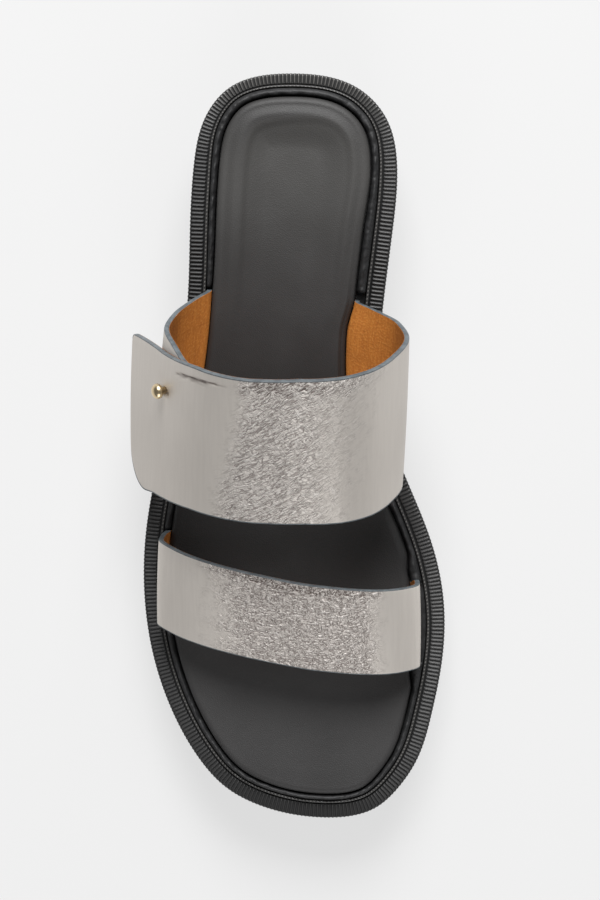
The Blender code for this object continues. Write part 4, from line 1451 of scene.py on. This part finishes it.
def make_stud():
    """Rows (radius, height) turned about the axis: seat + (x cos t + y sin t) radius + axis height."""
    seat, _, axis, _ = stud_seat()
    base = 2 * WALL + CLEAR + STUD_NECK_HEIGHT
    ball = np.radians(np.linspace(*HEAD_TURN, 18))
    high = base + STUD_HEIGHT * (HEAD_MIDDLE + HEAD_HALF * np.sin(ball))
    rivet = [
        (0.0, -CLEAR - RIVET_THICK),
        (RIVET / 2 - RIVET_EDGE, -CLEAR - RIVET_THICK),
        (RIVET / 2, -CLEAR - RIVET_THICK / 2),
        (RIVET / 2, -CLEAR),
        (STUD_NECK / 2, -CLEAR),
        (STUD_NECK / 2, base - NECK_OVERLAP),
    ]
    head = np.column_stack([np.cos(ball) * STUD_HEAD / 2, high])
    profile = np.concatenate([rivet, head, [(0.0, high[-1] + 0.001)]])
    first = unit(np.cross(axis, [0.0, 1.0, 0.0]))
    second = np.cross(axis, first)
    turn = np.arange(TURNED) * 2 * math.pi / TURNED
    round_it = first * np.cos(turn)[:, None] + second * np.sin(turn)[:, None]
    points = seat + profile[:, None, 0:1] * round_it + profile[:, None, 1:2] * axis
    quads = grid_quads(len(profile), TURNED, wrap_columns=True)
    vertices = points.reshape(-1, 3)
    piece = make_piece("stud_gilt", vertices, quads, GILT, merge=True, sharp=40.0)
    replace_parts(piece, "stud")


make_stud()

# %% [markdown]
# ## Studio
#
# The photo is a catalogue shot from nearly overhead: a pale floor that glows a little, as on a light
# table, a large soft light beyond the heel, a weaker one beyond the toe, and even fill. The camera
# stands where it did for this shoe of the pair and is turned to centre it, so the angle to the shoe is
# the photo's.

# %% Floor, lights and camera
FLOOR_REACH = 3.0
FLOOR_DROP = 0.0001
SQUARE = ((-1, -1), (1, -1), (1, 1), (-1, 1))
FLOOR_TONE = 0.16
FLOOR_GLOW = 0.645  # a light table, so the shoe's shadow stays faint
SKY = 0.17
CAMERA_DISTANCE = 1300.0
CAMERA_TILT = 6.0  # degrees from overhead, towards the heel
PHOTO_CENTRE = (62.2, -96.1, 25.0)  # where the photo's middle meets the rim's height
SHOE_CENTRE = (2.0, -98.6, 25.0)
FRAME_HEIGHT = 318.0  # millimetres of the rim's plane from the picture's top to its bottom
SENSOR = 36.0


def make_floor():
    """A square of pale paper just under the shoe's flat places."""
    mesh = bpy.data.meshes.new("floor")
    corners = [(x * FLOOR_REACH, y * FLOOR_REACH, -FLOOR_DROP) for x, y in SQUARE]
    mesh.from_pydata(corners, [], [(0, 1, 2, 3)])
    paint = Paint("floor_paper")
    fleck = paint.noise(paint.place(), 3.0, 2.0)
    tone = paint.blend(fleck, (FLOOR_TONE,) * 3 + (1,), (FLOOR_TONE + 0.01,) * 3 + (1,))
    glow = {"Emission Color": (1.0, 1.0, 1.0, 1.0), "Emission Strength": FLOOR_GLOW}
    mesh.materials.append(paint.finish({"Base Color": tone, "Roughness": 0.9} | glow))
    add("floor", mesh)


def area_light(name, place, target, size, power):
    """A square soft light at place, facing target."""
    data = bpy.data.lights.new(name, "AREA")
    data.shape = "SQUARE"
    data.size = size
    data.energy = power
    add(name, data).matrix_world = facing(place, target, (0.0, 1.0, 0.0))


def facing(place, target, up):
    """Matrix whose -Z looks from place at target, with up nearest its +Y."""
    back = unit(np.array(place, float) - np.array(target, float))
    right = unit(np.cross(up, back))
    rows = np.column_stack([right, np.cross(back, right), back, place])
    return Matrix([*rows.tolist(), [0.0, 0.0, 0.0, 1.0]])


def make_camera():
    """The photo's camera: CAMERA_TILT from overhead, its lens set by FRAME_HEIGHT at its distance."""
    tilt = math.radians(CAMERA_TILT)
    back = np.array([0.0, math.sin(tilt), math.cos(tilt)])
    eye = np.array(PHOTO_CENTRE) + back * CAMERA_DISTANCE
    data = bpy.data.cameras.new("camera")
    data.sensor_width = SENSOR
    data.lens = SENSOR * CAMERA_DISTANCE / FRAME_HEIGHT
    data.clip_end = 20.0
    camera = add("camera", data)
    camera.matrix_world = facing(eye * MM, np.array(SHOE_CENTRE) * MM, (0.0, 1.0, 0.0))
    bpy.context.scene.camera = camera


def make_world():
    """Even white fill of strength SKY."""
    world = bpy.data.worlds.new("studio")
    world.use_nodes = True
    sky = world.node_tree.nodes["Background"]
    sky.inputs["Color"].default_value = (1.0, 1.0, 1.0, 1.0)
    sky.inputs["Strength"].default_value = SKY
    bpy.context.scene.world = world
    bpy.context.scene.view_settings.view_transform = "Standard"


make_floor()
area_light("heel_side", (0.1, 1.25, 1.15), (0.0, -0.1, 0.0), 1.0, 52.0)
area_light("toe_side", (0.1, -1.6, 0.9), (0.0, -0.1, 0.03), 1.2, 15.0)
make_camera()
make_world()
